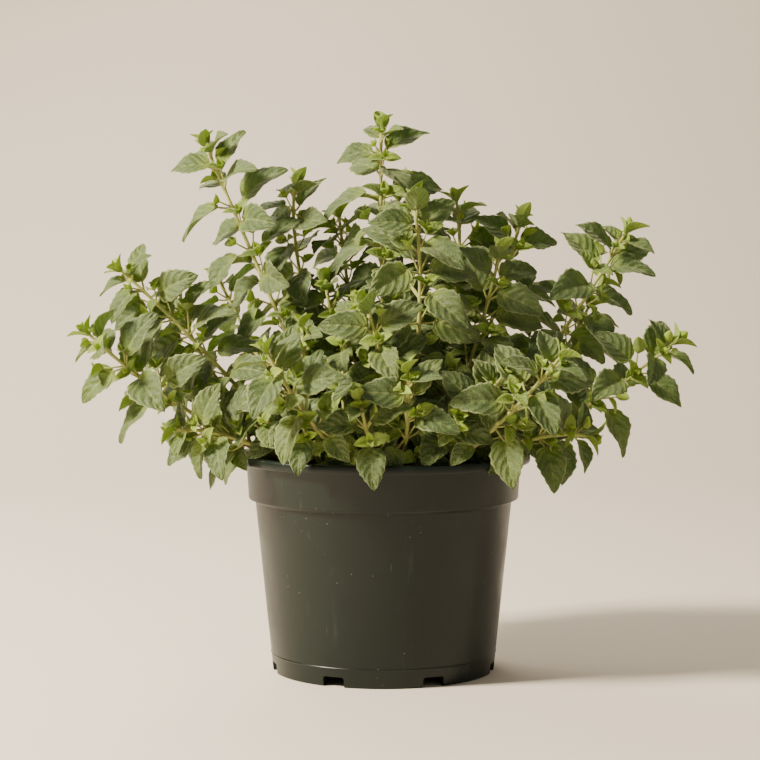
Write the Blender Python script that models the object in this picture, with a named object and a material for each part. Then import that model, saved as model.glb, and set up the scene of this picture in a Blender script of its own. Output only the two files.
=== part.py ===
"""Oregano plant in a round plastic nursery pot, with its potting mix.

Run it in Blender 4.5. Lengths below are in millimetres and are turned into metres when a mesh is made.
The origin is on the surface that the pot stands on, at the pot's own axis. The front is -Y.
"""

import math
import random
from collections import namedtuple

import bpy
from mathutils import Matrix, Vector
from mathutils.bvhtree import BVHTree

MM = 0.001
GAP = 0.3

# Pot: a six-inch azalea pot, measured over its lip
LIP_RADIUS = 76.0
POT_HEIGHT = 112.7
LIP_HEIGHT = 4.6
LIP_INNER_RADIUS = 70.4
LIP_UNDER_INSET = 0.6
LIP_BULGE_SHARE = 0.35
LIP_SHOULDER_INSET = 0.7
LIP_SHOULDER_DROP = 0.9
LIP_CREST_INSET = 2.2
COLLAR_RADIUS = 70.9
COLLAR_FOOT_RADIUS = 69.8
COLLAR_FOOT_Z = 89.3
INNER_STEP_HEIGHT = 3.0
BODY_TOP_RADIUS = 66.5
FOOT_RADIUS = 57.4
WALL = 1.5
BASE_BOTTOM_Z = 6.0
BASE_THICKNESS = 1.8
FOOT_RING_WIDTH = 3.2
POT_SIDES = 56
NOTCHES = 7
NOTCH_WIDTH = 11.5
NOTCH_HEIGHT = 5.2
FIRST_NOTCH_DEG = -90.0 + 180.0 / 7
DRAIN_RADIUS = 3.6
DRAIN_RING_RADIUS = 42.0
DRAIN_SIDES = 8
CUTTER_OVERRUN = 1.0

# Potting mix
SOIL_TOP_Z = 102.5
SOIL_CROWN = 2.4
SOIL_SIDES = 40
SOIL_RING_SHARES = (1.0, 0.66, 0.33)
SOCKET_DEPTH = 13.0
STEM_RISE = 2.0

# Stems and leaves
STEM_FOOT_HALF_WIDTH = 1.35
STEM_TIP_HALF_WIDTH = 0.75
STEM_POINTS = 40
STEM_ROOM_RINGS = 24
COLLAR_HALF_LENGTH = 0.9
CURVE_STEP = 28.0
LEAST_STEP = 0.01
LEAF_WIDTH_SHARE = 0.68
LEAF_THICKNESS = 0.7
SMALL_LEAF = 19.7
BLADE_SECTIONS = ((0.2, 0.92), (0.62, 0.8))
SMALL_BLADE_SECTIONS = ((0.38, 1.0),)
BLADE_ARCH = 0.06
BLADE_FOLD = 0.28
TIP_POINT = 0.04
TEST_MARGIN = 0.7
STALK_HALF_WIDTH = 0.5
STALK_ROOM = 0.9
STALK_ROOM_START = 0.45
STALK_FOOT_ROOM = 1.3
LIP_ROOM_SIDES = 32
LEAF_SWING = 9
LEAF_ROLL = 12
LEAF_SIZES = (0.9, 1.08)
LEAF_TRIES = 26
RETRY_YAWS = (-40, 40)
RETRY_PITCHES = (-34, 30)
LEAF_SHRINK = 0.975
LEAST_HEIGHT = 6.0
SHOOT_TRIES = 90
SPIRAL_TURN = 2.4
SPIRAL_STEP = 1.1
STEM_ROOM = 1.0
NODE_DISTANCES = (3.0, 9.0, 17.0, 27.0, 38.0, 50.0, 63.0, 78.0, 94.0, 111.0)
LEAF_LENGTHS = (11.0, 18.0, 22.5, 24.5, 25.0, 25.0, 24.0, 23.0, 21.0, 19.0)
PETIOLE_LENGTHS = (1.5, 3.5, 5.5, 7.0, 8.0, 8.0, 8.0, 7.5, 7.0, 7.0)
BLADE_PITCHES = (58.0, 38.0, 20.0, 6.0, -8.0, -18.0, -24.0, -28.0, -30.0, -32.0)
STALK_LIFT_DEG = 28.0
STALK_TOP_DEG = 70.0
SKYWARD = 0.8

# How far a blade turns its upper face to its light: out of the plant, up, left and, up to REAR_Y, to the front
FACE_OUT = 0.5
FACE_LEFT = 0.2
FACE_FRONT = 1.0
FACE_UP = 0.5
FACING = 0.78
REAR_Y = 70.0
REAR_SPAN = 60.0

Shoot = namedtuple("Shoot", "name foot knee tip pairs leaf turn")

# Shoots that show from the front: foot on the mix, a point midway, and the growing tip
FRONT_SHOOTS = (
    Shoot("shoot_left_tall", (-22, 8), (-62, 13, 200), (-94, 22, 274), 9, 1.0, 20),
    Shoot("shoot_left_high", (-40, -4), (-92, -6, 165), (-136, -8, 208), 8, 1.0, 50),
    Shoot("shoot_left_inner", (-44, 12), (-92, 8, 158), (-105, 2, 203), 5, 0.8, 5),
    Shoot("shoot_back_left", (-18, 26), (-43, 22, 200), (-46, 30, 254), 8, 0.95, 35),
    Shoot("shoot_centre_tall", (2, 2), (-1, 6, 215), (-1, 10, 283), 9, 1.0, 12),
    Shoot("shoot_centre_back", (-6, 38), (-18, 42, 190), (-24, 48, 237), 7, 0.9, 60),
    Shoot("shoot_centre_front", (10, -26), (18, -34, 185), (15, -28, 243), 8, 1.0, 40),
    Shoot("shoot_right_inner", (22, 14), (38, 20, 190), (38, 25, 245), 8, 0.95, 70),
    Shoot("shoot_right_back", (34, 28), (60, 24, 190), (73, 30, 235), 8, 0.95, 15),
    Shoot("shoot_right_mid", (26, -8), (48, -10, 172), (60, -5, 218), 7, 1.0, 30),
    Shoot("shoot_right_tall", (46, 8), (98, 6, 182), (127, 12, 228), 8, 1.0, 55),
    Shoot("shoot_right_low", (50, -8), (106, -14, 139), (150, -10, 171), 8, 1.0, 80),
    Shoot("shoot_front_right", (28, -40), (60, -64, 136), (87, -70, 167), 7, 1.0, 25),
    Shoot("shoot_front_left", (-14, -42), (-38, -69, 138), (-57, -79, 170), 7, 1.0, 65),
    Shoot("shoot_front_middle", (-6, -22), (-2, -50, 158), (-10, -52, 192), 6, 0.95, 10),
    Shoot("shoot_front_low", (8, -46), (12, -64, 136), (11, -70, 160), 5, 0.95, 45),
    Shoot("shoot_left_low", (-46, -12), (-104, -23, 139), (-151, -20, 176), 8, 1.0, 75),
    Shoot("shoot_left_rim", (-40, -20), (-78, -36, 124), (-106, -42, 127), 6, 0.95, 0),
    Shoot("shoot_right_rim", (38, -22), (76, -38, 123), (104, -44, 124), 6, 0.95, 35),
)

# Shoots that the front hides
REAR_SHOOTS = (
    Shoot("shoot_rear_left", (-36, 30), (-68, 54, 160), (-92, 70, 205), 8, 1.0, 10),
    Shoot("shoot_rear_left_low", (-30, 42), (-50, 68, 136), (-62, 83, 156), 6, 1.0, 50),
    Shoot("shoot_rear_middle", (-8, 48), (-12, 66, 150), (-14, 73, 192), 7, 1.0, 30),
    Shoot("shoot_rear_right", (18, 46), (34, 66, 158), (40, 76, 208), 8, 1.0, 70),
    Shoot("shoot_rear_right_low", (36, 38), (62, 66, 134), (80, 84, 150), 6, 1.0, 20),
    Shoot("shoot_rear_far_right", (48, 20), (88, 44, 150), (112, 58, 188), 8, 1.0, 60),
    Shoot("shoot_rear_far_left", (-48, 14), (-94, 36, 142), (-124, 48, 172), 8, 1.0, 40),
    Shoot("shoot_rear_centre", (6, 20), (10, 34, 180), (8, 44, 246), 8, 0.95, 85),
)

# Short young shoots: rings of them, each with its count, foot, knee and tip radius, knee and tip height
YoungRing = namedtuple("YoungRing", "count foot knee tip knee_z tip_z start_deg")
YOUNG_RINGS = (
    YoungRing(14, 50.0, 62.0, 80.0, 122.0, 140.0, 9.0),
    YoungRing(10, 30.0, 40.0, 48.0, 134.0, 166.0, 24.0),
    YoungRing(6, 14.0, 20.0, 26.0, 152.0, 200.0, 50.0),
)
YOUNG_SEED = 11
YOUNG_SPREAD = 7.0
YOUNG_TURN = 0.12
YOUNG_KNEE_RISE = (-2, 5)
YOUNG_TIP_RISE = (-8, 18)
YOUNG_PAIRS = 5
YOUNG_LEAF = 0.86

Leaf = namedtuple("Leaf", "shoot pair side root base tip normal length width")


def clear_scene():
    for obj in list(bpy.data.objects):
        bpy.data.objects.remove(obj, do_unlink=True)


def material(name, colour, roughness):
    made = bpy.data.materials.new(name)
    made.use_nodes = True
    shader = made.node_tree.nodes["Principled BSDF"]
    shader.inputs["Base Color"].default_value = (*colour, 1.0)
    shader.inputs["Roughness"].default_value = roughness
    shader.inputs["Metallic"].default_value = 0.0
    return made


def add_object(name, vertices, faces, look, smooth=False):
    mesh = bpy.data.meshes.new(name)
    mesh.from_pydata([Vector(v) * MM for v in vertices], [], faces)
    if smooth:
        mesh.shade_smooth()
        mesh.set_sharp_from_angle(angle=math.radians(35))
    obj = bpy.data.objects.new(name, mesh)
    bpy.context.scene.collection.objects.link(obj)
    if look:
        mesh.materials.append(look)
    return obj


def turned(profile, sides):
    """Vertices and faces of a closed outline of (radius, z) points turned round the Z axis."""
    vertices = []
    faces = []
    count = len(profile)
    for turn in range(sides):
        angle = 2 * math.pi * turn / sides
        for radius, z in profile:
            vertices.append((radius * math.cos(angle), radius * math.sin(angle), z))
    for turn in range(sides):
        here = turn * count
        there = (turn + 1) % sides * count
        for i in range(count):
            j = (i + 1) % count
            faces.append((here + i, there + i, there + j, here + j))
    return vertices, faces


def turned_solid(profile, sides):
    """A solid of an outline that runs from the axis at the bottom to the axis at the top."""
    vertices = [(0.0, 0.0, profile[0][1])]
    faces = []
    rings = profile[1:-1]
    for radius, z in rings:
        for turn in range(sides):
            angle = 2 * math.pi * turn / sides
            vertices.append((radius * math.cos(angle), radius * math.sin(angle), z))
    vertices.append((0.0, 0.0, profile[-1][1]))
    top = len(vertices) - 1
    last = 1 + (len(rings) - 1) * sides
    for turn in range(sides):
        after = (turn + 1) % sides
        faces.append((0, 1 + after, 1 + turn))
        faces.append((top, last + turn, last + after))
        for ring in range(len(rings) - 1):
            low = 1 + ring * sides
            high = low + sides
            faces.append((low + turn, low + after, high + after, high + turn))
    return vertices, faces


def body_radius(z):
    """Outer radius of the tapered body at height z."""
    return FOOT_RADIUS + (BODY_TOP_RADIUS - FOOT_RADIUS) * z / COLLAR_FOOT_Z


def pot_inner_radius(z):
    """Radius of the inside of the wall at height z."""
    if z < COLLAR_FOOT_Z:
        return body_radius(z) - WALL
    share = (z - COLLAR_FOOT_Z) / (POT_HEIGHT - LIP_HEIGHT - COLLAR_FOOT_Z)
    return COLLAR_FOOT_RADIUS + (COLLAR_RADIUS - COLLAR_FOOT_RADIUS) * share - WALL


def pot_profile():
    """The wall's outline: up the outside, over the lip, down the inside and under the base."""
    lip_z = POT_HEIGHT - LIP_HEIGHT
    base_top = BASE_BOTTOM_Z + BASE_THICKNESS
    return [
        (FOOT_RADIUS, 0.0),
        (BODY_TOP_RADIUS, COLLAR_FOOT_Z),
        (COLLAR_FOOT_RADIUS, COLLAR_FOOT_Z),
        (COLLAR_RADIUS, lip_z),
        (LIP_RADIUS - LIP_UNDER_INSET, lip_z),
        (LIP_RADIUS, lip_z + LIP_HEIGHT * LIP_BULGE_SHARE),
        (LIP_RADIUS - LIP_SHOULDER_INSET, POT_HEIGHT - LIP_SHOULDER_DROP),
        (LIP_RADIUS - LIP_CREST_INSET, POT_HEIGHT),
        (LIP_INNER_RADIUS, POT_HEIGHT),
        (pot_inner_radius(lip_z), lip_z),
        (pot_inner_radius(COLLAR_FOOT_Z), COLLAR_FOOT_Z),
        (pot_inner_radius(COLLAR_FOOT_Z - INNER_STEP_HEIGHT), COLLAR_FOOT_Z - INNER_STEP_HEIGHT),
        (pot_inner_radius(base_top), base_top),
    ]


def pot_vertices_and_faces():
    """The turned wall with its base plate, which closes it across the axis."""
    base_top = BASE_BOTTOM_Z + BASE_THICKNESS
    ring_inner = FOOT_RADIUS - FOOT_RING_WIDTH
    profile = [(0.0, BASE_BOTTOM_Z), (ring_inner, BASE_BOTTOM_Z), (ring_inner, 0.0)]
    profile += pot_profile()
    profile.append((0.0, base_top))
    return turned_solid(profile, POT_SIDES)


def box(centre, size, angle):
    """A box turned by an angle about Z round the origin."""
    turn = Matrix.Rotation(angle, 3, "Z")
    corners = []
    for sx, sy, sz in (
        (-1, -1, -1), (1, -1, -1), (1, 1, -1), (-1, 1, -1),
        (-1, -1, 1), (1, -1, 1), (1, 1, 1), (-1, 1, 1),
    ):
        corner = Vector(centre) + Vector((sx * size[0], sy * size[1], sz * size[2])) / 2
        corners.append(turn @ corner)
    faces = [(3, 2, 1, 0), (4, 5, 6, 7), (0, 1, 5, 4), (1, 2, 6, 5), (2, 3, 7, 6), (3, 0, 4, 7)]
    return corners, faces


def joined(shapes):
    """Several lists of vertices and faces as one."""
    vertices = []
    faces = []
    for some_vertices, some_faces in shapes:
        start = len(vertices)
        vertices += list(some_vertices)
        faces += [tuple(start + i for i in face) for face in some_faces]
    return vertices, faces


def notch_and_drain_cutters():
    shapes = []
    for notch in range(NOTCHES):
        angle = math.radians(FIRST_NOTCH_DEG) + 2 * math.pi * notch / NOTCHES
        centre = (FOOT_RADIUS - FOOT_RING_WIDTH / 2, 0.0, NOTCH_HEIGHT / 2 - CUTTER_OVERRUN)
        size = (FOOT_RING_WIDTH + 6 * CUTTER_OVERRUN, NOTCH_WIDTH, NOTCH_HEIGHT + 2 * CUTTER_OVERRUN)
        shapes.append(box(centre, size, angle))
        prism = []
        for turn in range(DRAIN_SIDES):
            around = 2 * math.pi * turn / DRAIN_SIDES
            prism.append((DRAIN_RADIUS * math.cos(around), DRAIN_RADIUS * math.sin(around)))
        centre = Vector((DRAIN_RING_RADIUS * math.cos(angle), DRAIN_RING_RADIUS * math.sin(angle)))
        base_top = BASE_BOTTOM_Z + BASE_THICKNESS
        shapes.append(upright_prism(prism, centre, BASE_BOTTOM_Z - CUTTER_OVERRUN, base_top + CUTTER_OVERRUN))
    return joined(shapes)


def upright_prism(outline, centre, low, high):
    count = len(outline)
    vertices = [(centre.x + x, centre.y + y, low) for x, y in outline]
    vertices += [(centre.x + x, centre.y + y, high) for x, y in outline]
    faces = [tuple(range(count))[::-1], tuple(range(count, 2 * count))]
    for i in range(count):
        j = (i + 1) % count
        faces.append((i, j, count + j, count + i))
    return vertices, faces


def cut(obj, name, cutter_shape):
    cutter = add_object(name, *cutter_shape, None)
    cutter.hide_render = True
    cutter.display_type = "WIRE"
    modifier = obj.modifiers.new(name, "BOOLEAN")
    modifier.operation = "DIFFERENCE"
    modifier.solver = "EXACT"
    modifier.object = cutter


def make_pot():
    look = material("pot_plastic", (0.018, 0.024, 0.022), 0.38)
    pot = add_object("pot", *pot_vertices_and_faces(), look, smooth=True)
    cut(pot, "pot_cutters", notch_and_drain_cutters())


def soil_top(radius):
    """Height of the mix at a distance from the axis, before its lumps."""
    return SOIL_TOP_Z + SOIL_CROWN * (1.0 - (radius / pot_inner_radius(SOIL_TOP_Z)) ** 2)


def soil_shape():
    base = BASE_BOTTOM_Z + BASE_THICKNESS + GAP
    step_z = COLLAR_FOOT_Z - INNER_STEP_HEIGHT
    profile = [
        (0.0, base),
        (pot_inner_radius(base) - GAP, base),
        (pot_inner_radius(step_z) - GAP, step_z),
        (pot_inner_radius(COLLAR_FOOT_Z) - GAP, COLLAR_FOOT_Z + 1.0),
    ]
    rim = pot_inner_radius(SOIL_TOP_Z) - GAP
    for share in SOIL_RING_SHARES:
        profile.append((rim * share, soil_top(rim * share)))
    profile.append((0.0, soil_top(0.0)))
    return turned_solid(profile, SOIL_SIDES)


def make_soil(stems):
    look = material("potting_mix", (0.022, 0.016, 0.011), 0.95)
    soil = add_object("potting_mix", *soil_shape(), look)
    sockets = []
    for stem in stems:
        floor = stem.corners(0.0, stem.half_width(0.0) + GAP)
        outline = [(corner.x - stem.foot.x, corner.y - stem.foot.y) for corner in floor]
        low = stem.foot.z - GAP
        sockets.append(upright_prism(outline, stem.foot, low, SOIL_TOP_Z + 2 * SOIL_CROWN))
    cut(soil, "stem_sockets", joined(sockets))


class Stem:
    """A square stem: upright in the mix, then on a curve through its knee to its tip."""

    def __init__(self, shoot):
        self.shoot = shoot
        start = Vector((*shoot.foot, soil_top(math.hypot(*shoot.foot)) + STEM_RISE))
        tip = Vector(shoot.tip)
        bend = 2 * Vector(shoot.knee) - (start + tip) / 2
        shares = [i / STEM_POINTS for i in range(STEM_POINTS + 1)]
        points = [start.lerp(bend, t).lerp(bend.lerp(tip, t), t) for t in shares]
        self.foot = start - Vector((0.0, 0.0, SOCKET_DEPTH + STEM_RISE))
        self.points = [self.foot] + points
        self.lengths = [0.0]
        for before, after in zip(self.points, self.points[1:]):
            self.lengths.append(self.lengths[-1] + (after - before).length)
        self.length = self.lengths[-1]
        self.start = self.lengths[1]
        self.frames = self.turned_frames()

    def turned_frames(self):
        """A side direction at each point, carried along the curve without twisting."""
        side = Matrix.Rotation(math.radians(self.shoot.turn), 3, "Z") @ Vector((1, 0, 0))
        frames = []
        for i in range(len(self.points)):
            ahead = self.points[min(i + 1, len(self.points) - 1)]
            behind = self.points[max(i - 1, 0)]
            along = (ahead - behind).normalized()
            side = (side - along * side.dot(along)).normalized()
            frames.append((along, side.copy()))
        return frames

    def at(self, distance):
        """Centre, direction and side of the stem at a distance along it from the foot."""
        distance = min(max(distance, 0.0), self.length)
        i = 0
        while i < len(self.lengths) - 2 and self.lengths[i + 1] < distance:
            i += 1
        share = (distance - self.lengths[i]) / (self.lengths[i + 1] - self.lengths[i])
        centre = self.points[i].lerp(self.points[i + 1], share)
        along = self.frames[i][0].lerp(self.frames[i + 1][0], share).normalized()
        side = self.frames[i][1].lerp(self.frames[i + 1][1], share)
        side = (side - along * side.dot(along)).normalized()
        return centre, along, side

    def half_width(self, distance):
        share = distance / self.length
        thin = STEM_TIP_HALF_WIDTH
        return STEM_FOOT_HALF_WIDTH + (thin - STEM_FOOT_HALF_WIDTH) * share

    def corners(self, distance, half_width):
        """The four corners of the square section."""
        centre, along, side = self.at(distance)
        other = along.cross(side)
        return [
            centre + (side * a + other * b) * half_width
            for a, b in ((1, -1), (1, 1), (-1, 1), (-1, -1))
        ]

    def tube(self, extra):
        """A plain tube round the stem, wider by extra, for testing room."""
        stations = [self.length * i / STEM_ROOM_RINGS for i in range(STEM_ROOM_RINGS + 1)]
        return ring_solid([self.corners(at, self.half_width(at) + extra) for at in stations])


def ring_solid(rings):
    """A closed solid through rings of four corners each."""
    vertices = [corner for ring in rings for corner in ring]
    faces = [(3, 2, 1, 0)]
    for i in range(len(rings) - 1):
        low = 4 * i
        for k in range(4):
            j = (k + 1) % 4
            faces.append((low + k, low + j, low + 4 + j, low + 4 + k))
    last = 4 * (len(rings) - 1)
    faces.append((last, last + 1, last + 2, last + 3))
    return vertices, faces


def tree_of(shape):
    return BVHTree.FromPolygons(*shape)


def young_shoots():
    """The rings of short shoots, each a little off its even place."""
    chance = random.Random(YOUNG_SEED)
    made = []
    for ring in YOUNG_RINGS:
        for i in range(ring.count):
            angle = math.radians(ring.start_deg) + 2 * math.pi * i / ring.count

            def around(radius):
                reach = radius + chance.uniform(-YOUNG_SPREAD, YOUNG_SPREAD) * radius / ring.tip
                turn = angle + chance.uniform(-YOUNG_TURN, YOUNG_TURN)
                return (reach * math.cos(turn), reach * math.sin(turn))

            foot = around(ring.foot)
            knee = (*around(ring.knee), ring.knee_z + chance.uniform(*YOUNG_KNEE_RISE))
            tip = (*around(ring.tip), ring.tip_z + chance.uniform(*YOUNG_TIP_RISE))
            name = f"young_shoot_{len(made) + 1:02d}"
            made.append(Shoot(name, foot, knee, tip, YOUNG_PAIRS, YOUNG_LEAF, chance.uniform(0, 90)))
    return made


def moved(shoot, attempt):
    """The shoot with its foot and knee moved out on a spiral, further at each attempt."""
    angle = attempt * SPIRAL_TURN
    reach = SPIRAL_STEP * math.sqrt(attempt)
    step = (reach * math.cos(angle), reach * math.sin(angle))
    foot = (shoot.foot[0] + step[0], shoot.foot[1] + step[1])
    knee = (shoot.knee[0] + step[0], shoot.knee[1] + step[1], shoot.knee[2])
    return shoot._replace(foot=foot, knee=knee)


def placed_stems():
    """Each stem, moved a little where it would run into an earlier one or into the lip."""
    stems = []
    trees = [tree_of(turned(pot_profile(), LIP_ROOM_SIDES))]
    for shoot in (*FRONT_SHOOTS, *REAR_SHOOTS, *young_shoots()):
        for attempt in range(SHOOT_TRIES):
            stem = Stem(moved(shoot, attempt))
            tree = tree_of(stem.tube(STEM_ROOM))
            if not any(tree.overlap(other) for other in trees):
                stems.append(stem)
                trees.append(tree_of(stem.tube(GAP)))
                break
    return stems


def blade_rings(leaf, margin):
    """Four corners a ring across the blade, folded up along its midrib, and its tip."""
    along = leaf.tip - leaf.base
    right = along.normalized().cross(leaf.normal)
    half = leaf.width / 2 + margin
    thick = LEAF_THICKNESS / 2 + margin
    rings = []
    for share, width in BLADE_SECTIONS if leaf.length > SMALL_LEAF else SMALL_BLADE_SECTIONS:
        arch = leaf.normal * leaf.length * BLADE_ARCH * math.sin(math.pi * share)
        middle = leaf.base + along * share + arch
        fold = leaf.normal * half * width * BLADE_FOLD
        rings.append([
            middle - right * half * width + fold,
            middle - leaf.normal * thick,
            middle + right * half * width + fold,
            middle + leaf.normal * thick,
        ])
    return rings


def petiole_ring(leaf, share, half_width):
    """Four corners round the petiole at a share of its length."""
    middle = leaf.root.lerp(leaf.base, share)
    along = (leaf.base - leaf.root).normalized()
    across = (leaf.tip - leaf.base).cross(leaf.normal)
    right = (across - along * across.dot(along)).normalized()
    up = right.cross(along)
    return [
        middle - right * half_width,
        middle - up * half_width,
        middle + right * half_width,
        middle + up * half_width,
    ]


def leaf_room(leaf):
    """The leaf a little larger than it is, from just off its stem, for testing room."""
    rings = [petiole_ring(leaf, STALK_ROOM_START, STALK_ROOM), petiole_ring(leaf, 1.0, STALK_ROOM)]
    rings += blade_rings(leaf, TEST_MARGIN)
    tip = leaf.tip + (leaf.tip - leaf.base).normalized() * TEST_MARGIN
    rings.append([tip + (corner - tip) * TIP_POINT for corner in rings[-1]])
    return ring_solid(rings)


def faced(blade, normal, place, pair):
    """The blade with its upper face turned to its light, more so below the tuft at the tip."""
    outward = Vector((place.x, place.y, 0.0)).normalized()
    front = FACE_FRONT * min(max((REAR_Y - place.y) / REAR_SPAN, 0.0), 1.0)
    light = (outward * FACE_OUT + Vector((-FACE_LEFT, -front, FACE_UP))).normalized()
    share = FACING * min(pair / 2, 1.0)
    blade = (blade - light * blade.dot(light) * share).normalized()
    normal = normal.lerp(light, share)
    return blade, (normal - blade * normal.dot(blade)).normalized()


def leaf_candidate(stem, shoot_number, pair, side, attempt):
    """One leaf of a pair, turned, lifted and sized by its place on the shoot and by the attempt."""
    chance = random.Random(shoot_number * 1000 + pair * 10 + side)
    yaw = chance.gauss(0, LEAF_SWING)
    pitch = BLADE_PITCHES[pair] + chance.gauss(0, LEAF_SWING)
    roll = chance.gauss(0, LEAF_ROLL)
    size = stem.shoot.leaf * chance.uniform(*LEAF_SIZES)
    for _ in range(attempt):
        yaw = chance.uniform(*RETRY_YAWS)
        pitch = BLADE_PITCHES[pair] + chance.uniform(*RETRY_PITCHES)
        size *= LEAF_SHRINK
    distance = stem.length - NODE_DISTANCES[pair]
    centre, along, first_side = stem.at(distance)
    quarter = first_side if pair % 2 == 0 else along.cross(first_side)
    out = quarter if side == 0 else -quarter
    root = centre + out * stem.half_width(distance)
    out = Matrix.Rotation(math.radians(yaw), 3, along) @ out
    up = (along + Vector((0.0, 0.0, SKYWARD))).normalized()
    up = (up - out * up.dot(out)).normalized()
    lift = math.radians(pitch)
    blade = (out * math.cos(lift) + up * math.sin(lift)).normalized()
    rise = math.radians(min(pitch + STALK_LIFT_DEG, STALK_TOP_DEG))
    stalk = (out * math.cos(rise) + up * math.sin(rise)).normalized()
    normal = (up * math.cos(lift) - out * math.sin(lift)).normalized()
    length = LEAF_LENGTHS[pair] * size
    base = root + stalk * PETIOLE_LENGTHS[pair] * stem.shoot.leaf
    blade, normal = faced(blade, normal, base, pair)
    normal = Matrix.Rotation(math.radians(roll), 3, blade) @ normal
    return Leaf(stem.shoot.name, pair, side, root, base, base + blade * length, normal, length,
                length * LEAF_WIDTH_SHARE)


def stalk_room(leaf):
    """The foot of the leaf's stalk, where it widens into its own stem, for testing room."""
    return ring_solid([petiole_ring(leaf, 0.0, STALK_FOOT_ROOM), petiole_ring(leaf, 0.5, STALK_FOOT_ROOM)])


class Room:
    """What already stands in the plant's space, so that the next leaf can be tested against it."""

    def __init__(self, stems):
        self.stems = {stem.shoot.name: tree_of(stem.tube(GAP)) for stem in stems}
        self.fixed = [tree_of(turned(pot_profile(), LIP_ROOM_SIDES)), tree_of(soil_shape())]
        self.taken = []

    def take(self, leaf, *shapes):
        """True, and the space is taken, if the shapes run into nothing. Only the first may not touch its stem."""
        middle = (leaf.base + leaf.tip) / 2
        trees = [tree_of(shape) for shape in shapes]
        others = [tree for name, tree in self.stems.items() if name != leaf.shoot] + self.fixed
        others += [tree for centre, reach, tree in self.taken if (centre - middle).length < reach + leaf.length]
        if trees[0].overlap(self.stems[leaf.shoot]) or any(t.overlap(other) for t in trees for other in others):
            return False
        self.taken += [(middle, leaf.length, tree) for tree in trees]
        return True


def placed_leaves(stems, room):
    """Leaves from the tips down, each where it has room, so that no leaf runs through another."""
    leaves = []
    for pair in range(len(NODE_DISTANCES)):
        for number, stem in enumerate(stems):
            above_mix = stem.length - NODE_DISTANCES[pair] - stem.start
            if pair > stem.shoot.pairs or above_mix < LEAST_HEIGHT:
                continue
            for side in (0, 1):
                for attempt in range(LEAF_TRIES):
                    leaf = leaf_candidate(stem, number, pair, side, attempt)
                    if room.take(leaf, leaf_room(leaf), stalk_room(leaf)):
                        leaves.append(leaf)
                        break
    return leaves


def shoot_shape(stem, leaves):
    """The stem and its leaves as one closed skin: each leaf is drawn out of a side of the stem."""
    by_place = {(leaf.pair, leaf.side): leaf for leaf in leaves}
    pairs = sorted({pair for pair, _ in by_place})
    stations = [0.0, stem.start]
    nodes = {}
    for pair in pairs:
        middle = stem.length - NODE_DISTANCES[pair]
        nodes[middle - COLLAR_HALF_LENGTH] = pair
        stations += [middle - COLLAR_HALF_LENGTH, middle + COLLAR_HALF_LENGTH]
    stations.sort()
    filled = [stations[0]]
    for station in stations[1:]:
        gaps = 1
        if filled[-1] >= stem.start:
            gaps = max(1, round((station - filled[-1]) / CURVE_STEP))
        start = filled[-1]
        filled += [start + (station - start) * (i + 1) / gaps for i in range(gaps)]
    filled = [filled[0]] + [s for before, s in zip(filled, filled[1:]) if s - before > LEAST_STEP]
    vertices = []
    faces = [(3, 2, 1, 0)]
    for distance in filled:
        vertices += stem.corners(distance, stem.half_width(distance))
    for i in range(len(filled) - 1):
        low = 4 * i
        pair = nodes.get(filled[i])
        for k in range(4):
            j = (k + 1) % 4
            face = (low + k, low + j, low + 4 + j, low + 4 + k)
            leaf = leaf_on_side(by_place, pair, k)
            if leaf is None:
                faces.append(face)
            else:
                add_leaf(vertices, faces, face, leaf)
    last = 4 * (len(filled) - 1)
    vertices.append(stem.points[-1])
    bud = len(vertices) - 1
    faces += [(last + k, last + (k + 1) % 4, bud) for k in range(4)]
    return vertices, faces


def leaf_on_side(by_place, pair, k):
    """The leaf that grows from side k of a node: sides 0 and 2 carry even pairs, 1 and 3 odd ones."""
    if pair is None or k % 2 != pair % 2:
        return None
    return by_place.get((pair, k // 2))


def add_leaf(vertices, faces, face, leaf):
    """Draws a leaf out of a side face of the stem, whose corners run low, low, high, high."""
    ring = list(face)
    sections = [petiole_ring(leaf, 1.0, STALK_HALF_WIDTH)] + blade_rings(leaf, 0.0)
    right = (leaf.tip - leaf.base).cross(leaf.normal)
    low_edge = Vector(vertices[face[1]]) - Vector(vertices[face[0]])
    if right.dot(low_edge) < 0:
        sections = [[s[2], s[1], s[0], s[3]] for s in sections]
    for section in sections:
        start = len(vertices)
        vertices += section
        ring = extend(faces, ring, [start, start + 1, start + 2, start + 3])
    vertices.append(leaf.tip)
    tip = len(vertices) - 1
    for k in range(4):
        faces.append((ring[k], ring[(k + 1) % 4], tip))


def extend(faces, ring, after):
    for k in range(4):
        j = (k + 1) % 4
        faces.append((ring[k], ring[j], after[j], after[k]))
    return after


def make_shoots(stems, leaves):
    look = material("oregano_green", (0.12, 0.19, 0.06), 0.7)
    for stem in stems:
        own = [leaf for leaf in leaves if leaf.shoot == stem.shoot.name]
        add_object(stem.shoot.name, *shoot_shape(stem, own), look)


def main():
    clear_scene()
    stems = placed_stems()
    leaves = placed_leaves(stems, Room(stems))
    make_pot()
    make_soil(stems)
    make_shoots(stems, leaves)


main()
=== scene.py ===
import math
import random
from collections import namedtuple

import bmesh
import bpy
import numpy as np
from mathutils import Matrix, Vector, noise
from mathutils.bvhtree import BVHTree


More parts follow.
